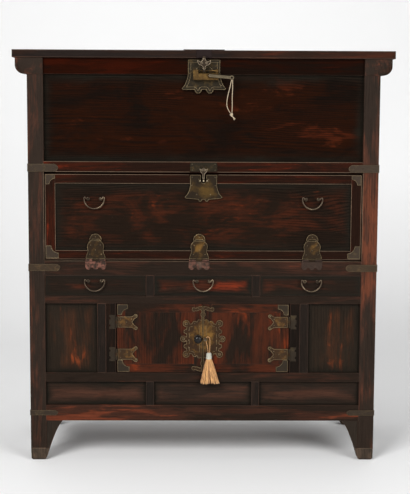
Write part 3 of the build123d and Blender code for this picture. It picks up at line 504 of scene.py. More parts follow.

# %% [markdown]
# ## Brass that has gone brown
# Sheet brass darkens to an olive brown and keeps its gold only where hands and cloths reach.
# The gold shows in patches of a slow noise, round the locks and in the middle of each leaf;
# fine flecks and small dents break the shine. A leaf's lighter middle and darker rim are partly
# wear and partly painted sheen and shade, and a diagonal stripe across a bell is a painted
# highlight, strongest on the middle hinge. Copper comes through where the sheet was heated.
# Each metal says its two tones, what share of it is bright, and how rough it is.

# %% Metals
def metal(name, tones, share=0.5, roughness=0.42, metallic=0.85, size=38.0, blush=None,
          middle=0.0, painted_sheen=0.0, near=None, shine=0.5):
    """Metal with patina over it: bright where a slow noise is high, dull elsewhere, with painted
    sheen in a leaf's middle and a diagonal painted highlight.
    """
    tree, shader = new_material(name)
    patina, bright = (paint(tone) for tone in tones)
    world = world_place(tree)
    fleck = cloud(world, 900.0, 3.0, 0.6)
    polish = fleck * 0.25 + cloud(world, 1000 / size, 5.0, 0.65, 0.3)
    if near:
        polish = nearness(tree, *near) * 0.4 + polish
    # Painted sheen and shade: lighter in the middle of a leaf and darker at its rim, partly wear;
    # the diagonal stripe is a painted highlight, strongest on the middle hinge.
    if middle:
        place, half = attribute(tree, "place"), attribute(tree, "half")
        far = away(*(place.part(k) / half.part(k) for k in (0, 1)))
        beside = (place.part(0) - place.part(1)).math("ABSOLUTE")
        inner = (beside * 42.0 + far).step(1.1, 0.0) * (nearness(tree, 0, 0.62, 0.25, 0.25) + 0.3)
        polish = (0.7 - far) * middle + inner * painted_sheen + polish
    polish = polish.step(0.78 - 0.42 * share, 1.16 - 0.42 * share)
    colour = mixed(tree, polish, patina, bright)
    if blush:
        heated = cloud(world, 75.0, 3.0, 0.6).step(0.42, 0.62) * world.part(0).step(0.4, -0.3)
        colour = mixed(tree, heated * 0.9, colour, paint(blush))
    height = cloud(world, 160.0, 2.0) * 0.8 + cloud(world, 900.0, 2.0) * 0.25
    wire(tree, shader, {
        "Base Color": darkened(tree, colour, fleck * 0.8 + 0.6), "Metallic": metallic,
        "Specular IOR Level": shine, "Normal": bumped(height, 0.5, 0.25 * MM),
        "Roughness": fleck * 0.25 + (roughness - 0.1) - polish * 0.12,
    })


metal("brown_brass", (0x251f15, 0x584629), 0.42, size=16.0, middle=0.1)
metal("gilt_brass", (0x261d13, 0x5e4723), 0.28, near=(0.0, 0.806, 0.05, 0.036))
metal("strap_brass", (0x382e25, 0x564832), 0.38, size=20.0)
metal("low_strap_brass", (0x3a2e22, 0x624d34), 0.42, size=16.0)
metal("door_corner_brass", (0x30281f, 0x544630), 0.3)
metal("dark_strap", (0x190f0d, 0x241713), 0.3, 0.6, metallic=0.0, shine=0.1)
metal("hinge_brass", (0x38281a, 0x825d2f), 0.42, size=18.0, middle=0.12)
metal("bell_hinge_brass", (0x2a1f13, 0x76562a), 0.3, middle=0.12, painted_sheen=0.24)
metal("copper_brass", (0x362a23, 0x746052), 0.4, blush=0x785043)
metal("round_plate_brass", (0x362517, 0x7c5a2b), 0.34, size=20.0, near=(0.0, 0.38, 0.05, 0.05))
metal("padlock_brass", (0x543f22, 0x947440), 0.5, 0.36, size=14.0)
metal("key_brass", (0x665b48, 0x9e9074), 0.5, 0.34)
metal("pale_metal", (0x362c22, 0x7c6a52), 0.45, 0.36)
metal("rubbed_metal", (0xb0a084, 0xe4d8be), 0.6, 0.3)
metal("nail_metal", (0x544a3a, 0x908266), 0.5, 0.36)
metal("bail_brass", (0x4c4034, 0x98866c), 0.5, 0.36)
metal("pale_line_metal", (0x968670, 0xd4c4aa))
metal("dull_line_brass", (0x544836, 0x7c6c50))
metal("worn_line_brass", (0x706148, 0xac9874))
metal("dark_iron", (0x110f0e, 0x221e1c), 0.3, 0.3, metallic=0.6)
print("woods and metals:", len(FINISHES))


# %% [markdown]
# ## Thread
# String and silk are matt and catch light on their outer fibres, which the sheen stands for.
# The colour of each thread comes from the attribute "shade", so that neighbours differ; on
# the tassel it also holds painted light and shade: a ply is lighter where it faces the front.

# %% Thread materials
def thread(name, tones):
    """Yarn whose colour runs from low to high with the mesh's own shade."""
    tree, shader = new_material(name)
    low, high = (paint(tone) for tone in tones)
    fluff = cloud(world_place(tree), 1400.0, 2.0)
    share = fluff.math("MULTIPLY_ADD", 0.3, attribute(tree, "shade", "Fac"), clamp=True)
    wire(tree, shader, {
        "Base Color": mixed(tree, share, low, high), "Roughness": 0.75,
        "Sheen Weight": 0.35, "Normal": bumped(fluff, 0.4, 0.2 * MM),
    })


thread("string_yarn", (0x84725a, 0xb8a68a))
thread("tassel_silk", (0x5c3216, 0xd29e62))
thread("tassel_binding", (0x828278, 0xbcb8a8))


def shaded(obj, values):
    """Gives a mesh the attribute "shade", one value for each of its points."""
    remember(obj.data, "shade", values, "FLOAT", "value")


def speckled(obj, seed, low, high):
    """Draws the shade of each point between low and high."""
    shaded(obj, np.random.default_rng(seed).uniform(low, high, len(obj.data.vertices)))


# %% [markdown]
# ### The strands
# A laid cord is three plies that wind about one line. Each ply's centre is the line plus a
# small circle whose angle grows with the distance along it.

# %% Laid cords
def laid(line, width, plies=3, pitch=6.5, sides=7):
    """Plies at line + r (cos(a) first + sin(a) second), a = 2 pi (distance / pitch + k / plies)."""
    length = distances(line)[-1]
    fine = np.linspace(0, length, max(12, int(length / (0.12 * pitch * MM))))
    line = points_at(line, fine)
    reference = (0, 1, 0.05)
    first, second = across(line, reference)
    ply = width * 0.27
    parts = []
    for k in range(plies):
        a = 2 * pi * (fine / (pitch * MM) + k / plies)
        offset = np.cos(a)[:, None] * first + np.sin(a)[:, None] * second
        parts.append(tube(line + offset * (width / 2 - ply), ply, sides, reference))
    return parts


def strand(name, width, body, finish, node):
    """One strand: a laid cord along its route."""
    line = smooth_line(route(name))
    obj = piece(name, laid(line, width), body, finish, node)
    speckled(obj, 7, 0.2, 0.6)
    route(name)[0]


# %% [markdown]
# ### The string's knot
# An overhand knot pulled tight is close to a trefoil: a closed line that goes twice round
# while it rises and falls three times. A bundle of frayed hairs leaves it: each is a straight
# line with a bow that is highest in its middle.

# %% Knot with its frayed end
KNOT_AT = np.array([79.5, STRING_Y + 1, 1022.4]) * MM
KNOT_SIZE = np.array([1.15, 2.0, 1.75]) * MM
KNOT_LEAN = radians(-24)
FRAY_START = np.array([2.6, 0, -4.5]) * MM
a = np.linspace(0, 2 * pi, 90)
knot_x, knot_y, knot_z = KNOT_SIZE[:, None] * [
    np.sin(a) + 2 * np.sin(2 * a), -np.sin(3 * a), np.cos(a) - 2 * np.cos(2 * a)]
trefoil = np.stack([knot_x * cos(KNOT_LEAN) + knot_z * sin(KNOT_LEAN), knot_y,
                    -knot_x * sin(KNOT_LEAN) + knot_z * cos(KNOT_LEAN)], -1) + KNOT_AT
knot_parts = [tube(trefoil, 1.35 * MM, 9, (0.1, 1, 0.3))]
draw = np.random.default_rng(11)
s = np.linspace(0, 1, 7)[:, None]
for _ in range(16):
    spread, lift = draw.uniform(-1, 1, 2)
    end = np.array([9.5 + 1.6 * spread, 1.2 * lift, -13.5 + 2.0 * spread]) * MM
    bow = np.array([0.8 * lift, spread * 0.5, 0.6]) * MM
    hair = KNOT_AT + FRAY_START + s * (end - FRAY_START) + bow * s * (1 - s) * 4
    knot_parts.append(tube(hair, np.linspace(0.42, 0.3, 7) * MM, 5, (0.2, 1, 0)))
knot = piece("knot", knot_parts, "padlock_key", "string_yarn", "string_knot")
speckled(knot, 5, 0.3, 0.8)
print("knot:", len(knot_parts) - 1, "frayed hairs")

# %% [markdown]
# ### The tassel
# A tassel is a hank of threads folded over its cord and bound below the fold. The threads
# are gathered in tufts: each tuft leaves the binding at its own angle, swells out and hangs
# down with a wave of its own, and its threads wind round it and end a little apart. Each ply
# is painted lighter where it faces the front and darker at the sides of its tuft: painted light
# and shade.

# %% Tassel
TASSEL_X, TASSEL_Y = 17.8, RING_Y - 6
SKIRT_TOP, SKIRT_END = 312.0, 234.5
TUFTS, PLIES, THREAD_STEPS = (27, 15, 5), 9, 22


def tuft_lines():
    """Tufts on three ellipses that widen with depth, and the threads that wind in each tuft."""
    draw = np.random.default_rng(21)
    ring = np.repeat([0.9, 0.56, 0.2], TUFTS)
    count = len(ring)
    angle = np.concatenate([(np.arange(n) + 0.3 * draw.uniform(-1, 1, n)) * 2 * pi / n
                            for n in TUFTS])
    depth = np.linspace(0, 1, THREAD_STEPS)[None]
    end = SKIRT_END + draw.uniform(0, 1, count) * 5.5
    z = SKIRT_TOP - (SKIRT_TOP - end)[:, None] * depth
    wide = np.interp(depth, [0, 0.12, 0.5, 1], [6.4, 10.0, 19.0, 28.6])
    thick = np.interp(depth, [0, 0.12, 0.5, 1], [4.6, 6.4, 8.8, 10.6])
    wave = draw.uniform(-1, 1, (2, count, 1)) * np.sin(depth * draw.uniform(4, 9, (2, count, 1)))
    x = TASSEL_X + 3 * depth + (ring * np.cos(angle))[:, None] * wide + wave[0] * depth
    y = TASSEL_Y - 1 + (ring * np.sin(angle))[:, None] * thick + wave[1] * 0.6 * depth
    around = np.interp(depth, [0, 0.3, 1], [0.5, 1.3, 2.0])[:, None]
    turn = (2 * pi * np.arange(PLIES)[None, :, None] / PLIES + 15 * depth[:, None]
            + angle[:, None, None])
    fringe = draw.uniform(-0.5, 1.2, (count, PLIES, 1)) * (depth[:, None] > 0.97)
    lines = np.stack([x[:, None] + around * np.cos(turn), y[:, None] + around * np.sin(turn),
                      z[:, None] + fringe], -1)
    # Painted light and shade: a ply is lighter where it faces the front, darker at the sides of its
    # tuft.
    painted_light = np.clip(-np.sin(turn), 0, 1)
    shade = 0.02 + 0.62 * painted_light ** 2 + 0.14 * draw.uniform(-1, 1, (count, 1, 1))
    shade = shade + 0.3 * draw.uniform(-1, 1, (count, PLIES, 1))
    return lines.reshape(-1, THREAD_STEPS, 3) * MM, np.clip(shade, 0, 1).reshape(-1, THREAD_STEPS)


def square_tubes(lines, half):
    """A square tube of four sides about each line; all threads at once, as one array."""
    corners = np.array([(1, 1, 0), (-1, 1, 0), (-1, -1, 0), (1, -1, 0)]) * MM
    points = lines[:, :, None] + corners[None, None] * half[None, :, None, None]
    count, steps = lines.shape[:2]
    last = 4 * steps
    base = grid_faces(steps, 4) + [[0, 1, 2, 3], [last - 1, last - 2, last - 3, last - 4]]
    faces = [[i + k * last for i in face] for k in range(count) for face in base]
    return points.reshape(-1, 3), faces


lines, shade = tuft_lines()
thread_half = np.interp(np.linspace(0, 1, THREAD_STEPS), [0, 0.3, 1], [0.4, 0.55, 0.65])
skirt = piece("tassel_skirt", [square_tubes(lines, thread_half)], "right_door",
              "tassel_silk", "tassel")
shaded(skirt, np.repeat(shade.ravel(), 4))

rings = []
a = np.linspace(0, 2 * pi, 30)
for z in np.arange(310.5, 326.5, 1.45):
    r = float(np.interp(z, [309, 313, 320, 325.5, 327], [8.2, 7.5, 7.0, 6.4, 4.6]))
    loop = [TASSEL_X + r * np.cos(a), TASSEL_Y + 0.78 * r * np.sin(a), np.full(30, z)]
    rings.append(tube(np.stack(loop, -1) * MM, 0.8 * MM, 6, (0, 0.001, 1)))
core = np.linspace((TASSEL_X, TASSEL_Y, 308.5), (TASSEL_X, TASSEL_Y, 326.8), 12)
core_radius = np.interp(core[:, 2], [309, 313, 320, 326.8], [7.2, 6.4, 6.0, 4.0])
rings.append(tube(core * MM, core_radius * MM, 20))
binding = piece("tassel_binding", rings, "right_door", "tassel_binding",
                "tassel")
speckled(binding, 3, 0.2, 0.8)
print("tassel:", len(lines), "threads,", len(rings) - 1, "turns of binding")

for name in ("string_left", "string_right"):
    strand(name, STRING_WIDTH, "padlock_key", "string_yarn", "key_string")
for name, held in (("silk_loop", [skirt, binding]), ("silk_return", [binding])):
    strand(name, SILK_WIDTH, "right_door", "tassel_silk", "tassel_cord")

# %% [markdown]
# ## Boards with softened arrises
# No edge on an old chest is sharp. Each solid of a node is taken by itself, its triangles
# are joined, flat neighbours are dissolved and the long edges are bevelled; the bevel takes
# a second, paler finish, because that is where lacquer wears through, and its paleness is
# also painted highlight where an edge catches the light. Each board then gets the attributes
# that the wood reads.

# %% Solids of a node, one by one
def solids_of(name):
    """The node's triangles, sorted into its separate solids by the edges that two share."""
    data = frame["nodes"][name].data
    data.calc_loop_triangles()
    keys = np.round(read(data.vertices, "co") * 1e6).astype(np.int64)
    unique, index = np.unique(keys, axis=0, return_inverse=True)
    triangles = index.reshape(-1)[read(data.loop_triangles, "vertices", np.int64)]
    triangles = triangles[(triangles != np.roll(triangles, 1, 1)).all(1)]
    sides = np.sort(triangles[:, [0, 1, 1, 2, 2, 0]].reshape(-1, 2), axis=1)
    _, edge, count = np.unique(sides, axis=0, return_inverse=True, return_counts=True)
    edge = edge.reshape(-1)
    owner = np.repeat(np.arange(len(triangles)), 3)
    order = np.argsort(edge, kind="stable")
    order = order[count[edge[order]] == 2]
    a, b = owner[order[0::2]], owner[order[1::2]]
    label, fresh = None, np.arange(len(triangles))
    while not np.array_equal(label, fresh):
        label = fresh
        low = np.minimum(label[a], label[b])
        fresh = label.copy()
        np.minimum.at(fresh, a, low)
        np.minimum.at(fresh, b, low)
        fresh = fresh[fresh]
    solids = []
    for one in np.unique(label):
        used, local = np.unique(triangles[label == one], return_inverse=True)
        solids.append((unique[used] * 1e-6, local.reshape(-1, 3)))
    return solids


# %% One softened solid, and a whole node
FLAT, SHARP, LONG_EDGE, FINE_EDGE = radians(0.6), radians(38), 6 * MM, 0.3 * MM


def softened(points, triangles, width, shortest):
    """One solid as a mesh whose longer convex edges are rounded to the given width."""
    work = bmesh.new()
    verts = [work.verts.new(p) for p in points]
    for triangle in triangles:
        work.faces.new([verts[i] for i in triangle])
    bmesh.ops.recalc_face_normals(work, faces=work.faces)
    bmesh.ops.dissolve_limit(work, angle_limit=FLAT, verts=work.verts, edges=work.edges)
    work.normal_update()
    sharp = [e for e in work.edges if len(e.link_faces) == 2 and e.is_convex
             and e.calc_face_angle(0) > SHARP and e.calc_length() > shortest]
    if sharp:
        bmesh.ops.bevel(work, geom=sharp, offset=width, segments=2, profile=0.55,
                        affect="EDGES", clamp_overlap=True, material=1)
    work.verts.index_update()
    return work


def board_facts(low, high, axis, draw):
    """The axes along and across a board, its middle, its half sizes and its own shift."""
    size = high - low
    first = int(axis(size))
    order = [first] + [int(k) for k in np.argsort(-size) if k != first]
    return order, (low + high) / 2, size[order] / 2, draw.uniform(2, 40, 3)


def dressed(node, finishes, width, pick=None, axis=np.argmax, seed=1, shortest=LONG_EDGE):
    """A softened stand-in for a CAD node; pick(low, high) gives the finish of one solid."""
    draw = np.random.default_rng(seed)
    parts, kinds = [], []
    facts = {"grain": [], "place": [], "half": []}
    for corners, triangles in solids_of(node):
        low, high = corners.min(0), corners.max(0)
        order, middle, half, shift = board_facts(low, high, axis, draw)
        work = softened(corners, triangles, width * MM, shortest)
        own = np.array([v.co for v in work.verts])
        parts.append((own, [[v.index for v in f.verts] for f in work.faces]))
        finish = pick(low, high) if pick else 0
        kinds += [len(finishes) - 1 if f.material_index else finish for f in work.faces]
        work.free()
        place = (own - middle)[:, order]
        facts["grain"].append(place + shift)
        facts["place"].append(place)
        facts["half"].append(np.broadcast_to(half, own.shape))
    mesh = surface(node + "_worn", *joined(parts), *finishes)
    mesh.polygons.foreach_set("material_index", kinds)
    for name, rows in facts.items():
        remember(mesh, name, np.concatenate(rows))
    slot = next(s["material_slot"] for s in frame["record"]["subparts"] if s["node"] == node)
    obj = mount(node + "_worn", mesh, frame["nodes"][node]["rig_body"], node)
    even = obj.modifiers.new("even shading", "WEIGHTED_NORMAL")
    even.keep_sharp = False


# %% [markdown]
# ### The woodwork
# A node can hold boards of several finishes: the front rails, for one, are almost black under
# the lid, red round the drop-front and grey brown at the foot. The height of a board's upper
# edge says which finish it takes; the door jambs are told by how far from the middle they
# stand. A seed of its own gives each node the same figure at every run.

# %% The woodwork
WELL, WAIST, SILL = 1.13, 0.7, 0.3
JAMB_X = 0.27055
ALONG_X, ALONG_Y, UPRIGHT = (lambda size, axis=axis: axis for axis in range(3))
LONGEST = np.argmax


def below(height, *levels):
    """How many of the levels a height doesn't pass."""
    return sum(int(height <= level) for level in levels)


def door_grain(size):
    """Rails of a door run across; its stiles and its panel stand up."""
    return 0 if size[2] < 0.04 else 2


def is_front(low, high):
    """0 for a drawer's front, 1 for the boards of its box."""
    return 0 if high[1] - low[1] < 0.03 and low[1] < FRONT + 0.01 else 1


WOODWORK = {
    "posts": ("post_lacquer", 1.4, LONGEST), "foot_blocks": ("foot_lacquer", 2.0, UPRIGHT),
    "leg_brackets": ("leg_lacquer", 1.0, UPRIGHT), "bearers": ("post_lacquer", 1.0, ALONG_Y),
    "back_rails": ("low_rail_lacquer", 1.0, ALONG_X),
    "side_rails": ("low_rail_lacquer", 1.0, ALONG_Y),
    "side_panels": ("side_panel_lacquer", 0.6, ALONG_Y),
    "back_panels": ("side_panel_lacquer", 0.6, ALONG_X),
    "rear_top_board": ("top_lacquer", 1.6, ALONG_X), "lid_board": ("top_lacquer", 1.2, ALONG_X),
    "drop_front_frame": ("rail_lacquer", 0.9, LONGEST),
    "drop_front_panel": ("drop_panel_lacquer", 0.6, ALONG_X),
    "left_door": ("door_lacquer", 0.6, door_grain),
    "right_door": ("door_lacquer", 0.6, door_grain),
    "floor_boards": ("plain_wood", 0.8, ALONG_X), "drawer_guides": ("plain_wood", 0.8, ALONG_Y),
}
MIXED = {
    "front_uprights": (["upright_lacquer", "jamb_lacquer"], 0.9,
                       lambda low, high: int(abs(abs(low[0] + high[0]) / 2 - JAMB_X) < 0.002)),
    "front_rails": (["crown_lacquer", "rail_lacquer", "low_rail_lacquer"], 1.0,
                    lambda low, high: below(high[2], WELL, WAIST)),
    "front_panels": (["panel_lacquer", "side_panel_lacquer", "base_panel_lacquer"], 0.6,
                     lambda low, high: below(high[2], WAIST, SILL)),
}
for number, (node, (finish, width, way)) in enumerate(WOODWORK.items()):
    dressed(node, [finish, "worn_arris"], width, axis=way, seed=number + 3)
for number, (node, (finishes, width, pick)) in enumerate(MIXED.items()):
    dressed(node, finishes + ["worn_arris"], width, pick, seed=number + 30)
for number, side in enumerate(("left", "middle", "right")):
    dressed(f"{side}_drawer", ["drawer_lacquer", "plain_wood", "worn_arris"], 1.0, is_front,
            seed=number + 40)
print("boards dressed:", len(WOODWORK) + len(MIXED) + 3)

# %% [markdown]
# ## Brasswork
# Sheet brass is cut out with a saw and filed, so its edges are softened too, and a smith
# runs a fine line round the border with a punch. The line follows the outline: the border of
# the front face is moved inwards, points that come too near another edge are dropped, and a
# thin half-sunk tube is laid along what is left.

# %% Lines along the borders of plates
def border(corners, triangles, inset, level):
    """The outline of the triangles that lie on the front, moved inwards by inset: polylines."""
    flat = np.abs(corners[triangles][:, :, 1] - level).max(1) < 0.05 * MM
    sides = triangles[flat][:, [0, 1, 1, 2, 2, 0]].reshape(-1, 2)
    forward = {tuple(side) for side in sides.tolist()}
    following = {a: b for a, b in forward if (b, a) not in forward}
    lines = []
    while following:
        loop = [next(iter(following))]
        while loop[-1] in following:
            loop.append(following.pop(loop[-1]))
        lines.append(corners[loop[:-1]][:, [0, 2]])
    return [inner for line in lines for inner in moved_in(line, lines, inset)]


def moved_in(line, lines, inset, spacing=0.7 * MM):
    """Points at inset from a closed line; those that come nearer to any line are dropped."""
    closed = np.concatenate([line, line[:1]])
    dense = points_at(closed, np.arange(0, distances(closed)[-1], spacing))
    ahead_of = np.roll(dense, -1, 0) - np.roll(dense, 1, 0)
    shifted = dense + unit(np.stack([-ahead_of[:, 1], ahead_of[:, 0]], -1)) * inset
    kept = distance(shifted, lines) > 0.9 * inset
    start = -int(np.argmin(kept))
    shifted, kept = np.roll(shifted, start, 0), np.roll(kept, start)
    cuts = np.flatnonzero(np.diff(kept.astype(int))) + 1
    runs = zip(np.split(shifted, cuts), np.split(kept, cuts))
    return [run for run, keep in runs if keep[0] and len(run) > 3]


def distance(points, lines):
    """How far each point is from the nearest of the closed lines."""
    a = np.concatenate(lines)
    edge = np.concatenate([np.roll(line, -1, 0) for line in lines]) - a
    share = ((points[:, None] - a) * edge).sum(-1) / np.maximum((edge ** 2).sum(-1), 1e-12)
    foot = a + np.clip(share, 0, 1)[..., None] * edge
    return np.linalg.norm(points[:, None] - foot, axis=-1).min(1)


def border_lines(node, insets, finish, radius=0.55, smallest=30e-6):
    """Thin raised lines at each inset from the border of each solid's front face, if it has one."""
    parts = []
    for corners, triangles in solids_of(node):
        faces = corners[triangles]
        deep = faces[:, :, 1]
        flat = np.ptp(deep, axis=1) < 0.01 * MM
        sides = faces[:, 1:] - faces[:, :1]
        area = np.linalg.norm(np.cross(sides[:, 0], sides[:, 1]), axis=1)[flat]
        if area.sum() < smallest:
            continue
        levels, index = np.unique(np.round(deep[flat].mean(1) * 1e5), return_inverse=True)
        areas = np.bincount(index.reshape(-1), area)
        level = levels[areas > 0.3 * areas.max()].min() * 1e-5
        for inset in insets:
            for line in border(corners, triangles, inset * MM, level):
                parts.append(tube(np.insert(line, 1, level, axis=1), radius * MM, 6))
    if parts:
        piece(node + "_lines", parts, frame["nodes"][node]["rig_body"], finish)
    print(node, "lines:", len(parts))


# %% [markdown]
# ### Every fitting with its finish
# Each row says which brass a fitting has, how wide its edges are rounded, and how far from
# the edge its punched lines run, in millimetres. Hands keep the lines of the padlock's key
# and of the two hasps pale.

# %% The brasswork
BRASSWORK = {
    ("strap_brass", 0.35, (1.2,)): "drop_front_corners",
    ("door_corner_brass", 0.35, (1.3,)): "left_door_corners right_door_corners",
    ("brown_brass", 0.4, (1.4, 8.5)): "lid_lock_plate",
    ("gilt_brass", 0.4, (1.4,)): "drop_lock_plate",
    ("brown_brass", 0.35, ()): "rail_hasp_plate",
    ("dark_strap", 0.5, ()): "lid_strap",
    ("round_plate_brass", 0.4, (1.3, 9)): "left_door_lock_plate right_door_lock_plate",
    ("bell_hinge_brass", 0.35, (1.1,)): "drop_front_hinge_leaves",
    ("copper_brass", 0.35, ()): "rail_hinge_leaves",
    ("hinge_brass", 0.35, (1.2,)): "left_door_hinge_leaves right_door_hinge_leaves",
    ("door_corner_brass", 0.3, ()): "jamb_hinge_leaves",
    ("brown_brass", 0.4, ()): "lid_hinge_fixed_leaves lid_hinge_moving_leaves",
    ("pale_metal", 0.3, (0.9,)): "lid_hasp rail_hasp",
    ("padlock_brass", 0.4, ()): "padlock_case padlock_shackle",
    ("key_brass", 0.3, (0.8,)): "padlock_key",
    ("bail_brass", 0.25, ()): "tassel_eye",
}
PALE_LINED = ("key_brass", "pale_metal")


def strap_kind(low, high):
    """0 for the straps on the top and bottom rails, 1 for the pair between them."""
    return int(0.5 < high[2] < WAIST)


dressed("corner_straps", ["strap_brass", "low_strap_brass", "strap_brass"], 0.4, strap_kind,
        shortest=FINE_EDGE)
border_lines("corner_straps", (1.0,), "dull_line_brass", 0.4)
for (finish, width, insets), nodes in BRASSWORK.items():
    for node in nodes.split():
        dressed(node, [finish] * 2, width, shortest=FINE_EDGE)
        if insets:
            punched = "pale_line_metal" if finish in PALE_LINED else "worn_line_brass"
            border_lines(node, insets, punched)
print("finishes of brass:", len(BRASSWORK) + 1)


# %% [markdown]
# ### Bails, their posts and the knob
# A bail is a wire bent to a crescent, a little thicker in the middle. The line is half of a
# circle; at each end a small bend brings it back over its post, and it runs inwards through
# the post's ball. Posts and knob are turned from a profile.

# %% Bails
BAIL_SPREAD, BAIL_RADIUS, BAIL_RISE, BAIL_OUT, BALL = 18.5, 29.4, 1.6, 9.5, 3.2
HOOK = [(-4.5, 0), (0, 0), (3, 0.2), (5.0, 1.5), (5.9, 3.8), (7.4, 5.9), (9.3, 5.8), (10.6, 4.0)]
POST = [(0, 0), (5.6, 0), (5.6, 0.6), (5.0, 1.2), (4.0, 1.6), (3.2, 1.6), (2.6, 2.1), (2.4, 5)]
DROP_BAIL_Z, DRAWER_BAIL_Z = 778, 536.5
BAILS = {
    "drop_left_bail": ("drop_front", -317, FACE + 4, DROP_BAIL_Z),
    "drop_right_bail": ("drop_front", 317, FACE + 4, DROP_BAIL_Z),
    "left_drawer_bail": ("left_drawer", -317, DOOR_FACE, DRAWER_BAIL_Z),
    "middle_drawer_bail": ("middle_drawer", 0, DOOR_FACE, DRAWER_BAIL_Z),
    "right_drawer_bail": ("right_drawer", 317, DOOR_FACE, DRAWER_BAIL_Z),
}


def bail(x, y, z):
    """Half a circle in X and Z with a hook at each end; radius 1.5 there, 2.1 in the middle."""
    hook = np.array(HOOK) + [BAIL_SPREAD, 0]
    a = np.linspace(0, pi, 34)
    sweep = np.stack([BAIL_RADIUS * np.cos(a), BAIL_RISE - BAIL_RADIUS * np.sin(a)], -1)
    flat = np.concatenate([hook, sweep, (hook * [-1, 1])[::-1]])
    line = (np.insert(flat, 1, -BAIL_OUT, axis=1) + [x, y, z]) * MM
    middle = 1 - np.abs(np.linspace(-1, 1, len(line)))
    return tube(line, (1.5 + 0.6 * np.minimum(1, middle * 2)) * MM, 12)


def bail_post(x, y, z):
    """A turned post: rosette, neck and ball."""
    ball = [(BALL * cos(a), BAIL_OUT + BALL * sin(a)) for a in np.linspace(-0.95, pi / 2, 12)]
    return turned(POST + ball, np.array([x, y, z]) * MM, 32)


posts_of = {}
for name, (body, x, y, z) in BAILS.items():
    piece(name + "_wire", [bail(x, y, z)], name, "bail_brass", node=name)
    posts_of.setdefault(body, []).extend(bail_post(x + s * BAIL_SPREAD, y, z) for s in SIDES)
for body, parts in posts_of.items():
    node = "drop_bail_posts" if body == "drop_front" else f"{body}_bail_posts"
    piece(node + "_turned", parts, body, "pale_metal", node=node)
print("bails:", len(BAILS))

# %% Knob on the left door
SHEET = 1.6
KNOB_AT = np.array([-14, DOOR_FACE - SHEET, 366]) * MM
KNOB_FOOT = [(0, 0), (13, 0), (13, 0.9), (12, 1.7), (9, 2.0), (6, 2.4), (4.4, 4), (4.3, 7.5)]
KNOB_BEAD = [(0, -0.6), (1.2, -0.4), (1.35, 0.3), (0.9, 1.1), (0, 1.4)]
KNOB_BEADS, BEAD_RING, BEAD_OUT = 22, 11.6, 1.4
knob_head = [(11.8 * cos(a), 12.6 + 6.9 * sin(a)) for a in np.linspace(-0.7, pi / 2, 16)]
piece("knob_turned", [turned(KNOB_FOOT + knob_head, KNOB_AT, 56)], "left_door",
      "dark_iron", "door_knob")
offsets = [np.array([x * BEAD_RING, -BEAD_OUT, z * BEAD_RING]) * MM
           for x, z in circle(KNOB_BEADS)]
piece("knob_beads", [turned(KNOB_BEAD, KNOB_AT + offset, 10) for offset in offsets], "left_door",
      "pale_metal")
print("beads round the knob:", len(offsets))

# %% [markdown]
# ### Nails
# Every plate is held by small domed nails. A dome of three rings and eight sides is enough
# for something three millimetres wide.

# %% Domed nails on every plate
NAIL_PROFILE = [(0, -0.5), (1.7, -0.5), (1.7, 0.05), (1.35, 0.6), (0.7, 0.95), (0, 1.05)]
PLATE_FACE, DOOR_PLATE_FACE, EYE_FACE = FACE - SHEET, DOOR_FACE - SHEET, FACE - 8.6
LID_PLATE_FACE = PLATE_FACE + 6
HINGES_X, HINGES_Z, HINGES_END = (-314, -12, 318), (320, 416), 254.5
BELL_NAILS = [(-17, 17), (17, 17), (0, 30), (-14, 44), (14, 44), (0, 68)]
DOOR_LEAF_NAILS = [(12, 9), (12, -9), (30, 0), (45, 9), (45, -9)]
STRAP_NAILS = [(432, 868), (462, 868), (494, 868), (428, 577), (460, 577), (494, 577),
               (438, 144), (464, 144), (494, 144)]
ROUND_PLATE_NAILS = [(49, 412), (57, 366), (49, 320), (24, 412), (24, 320), (12, 456),
                     (40, 392), (40, 340)]
RIGHT_PLATE_NAIL = (30, 366)


def nails(name, body, places, depth, size=1.0, finish="nail_metal"):
    """Nails at places (x, z) in millimetres, on a face at the depth y."""
    profile = np.array(NAIL_PROFILE) * size
    parts = [turned(profile, np.array([x, depth, z]) * MM, 8) for x, z in places]
    piece(name, parts, body, finish)
    print(name, len(parts))


def both(places):
    """The places and their mirror images."""
    return [(s * x, z) for x, z in places for s in SIDES]


nails("lid_plate_nails", "carcass", both([(40, 1172), (41, 1140), (50, 1106), (26, 1100)]),
      LID_PLATE_FACE)
nails("strap_nails", "carcass", both(STRAP_NAILS), PLATE_FACE, 0.9, "strap_brass")
nails("rail_plate_nails", "carcass", both([(33, 880), (33, 863)]), PLATE_FACE)
nails("drop_plate_nails", "drop_front", both([(33, 842), (34, 818), (44, 796), (20, 792)]),
      PLATE_FACE)
nails("drop_hinge_nails", "drop_front",
      [(x + dx, 599.5 + dz) for x in HINGES_X for dx, dz in BELL_NAILS], PLATE_FACE, 0.9)
nails("rail_hinge_nails", "carcass", [(x + dx, 582) for x in HINGES_X for dx in (-21, 0, 21)],
      PLATE_FACE, 0.9, "copper_brass")
for side, name in zip(SIDES, ("left_door", "right_door")):
    leaf = [(side * (HINGES_END - dx), z + dz) for z in HINGES_Z for dx, dz in DOOR_LEAF_NAILS]
    nails(f"{name}_hinge_nails", name, leaf, DOOR_PLATE_FACE, 0.9)
    plate = ROUND_PLATE_NAILS + ([RIGHT_PLATE_NAIL] if side > 0 else [])
    nails(f"{name}_plate_nails", name, [(side * x, z) for x, z in plate], DOOR_PLATE_FACE, 0.85)
nails("hasp_stud", "rail_hasp", [(0, 832)], EYE_FACE, 1.5, "rubbed_metal")
nails("eye_studs", "drop_front", [(-10, 832), (10, 832)], EYE_FACE, 1.1, "rubbed_metal")

# %% [markdown]
# ### Beads round the drop-front
# A fine half-round bead runs round the opening and round both edges of the drop-front's
# frame, and a thin one covers the joint of each foot. Pale partly from rubbing and partly as
# painted highlight, the beads draw the thin light lines of the front. Each is a straight tube,
# sunk to its middle in the wood.

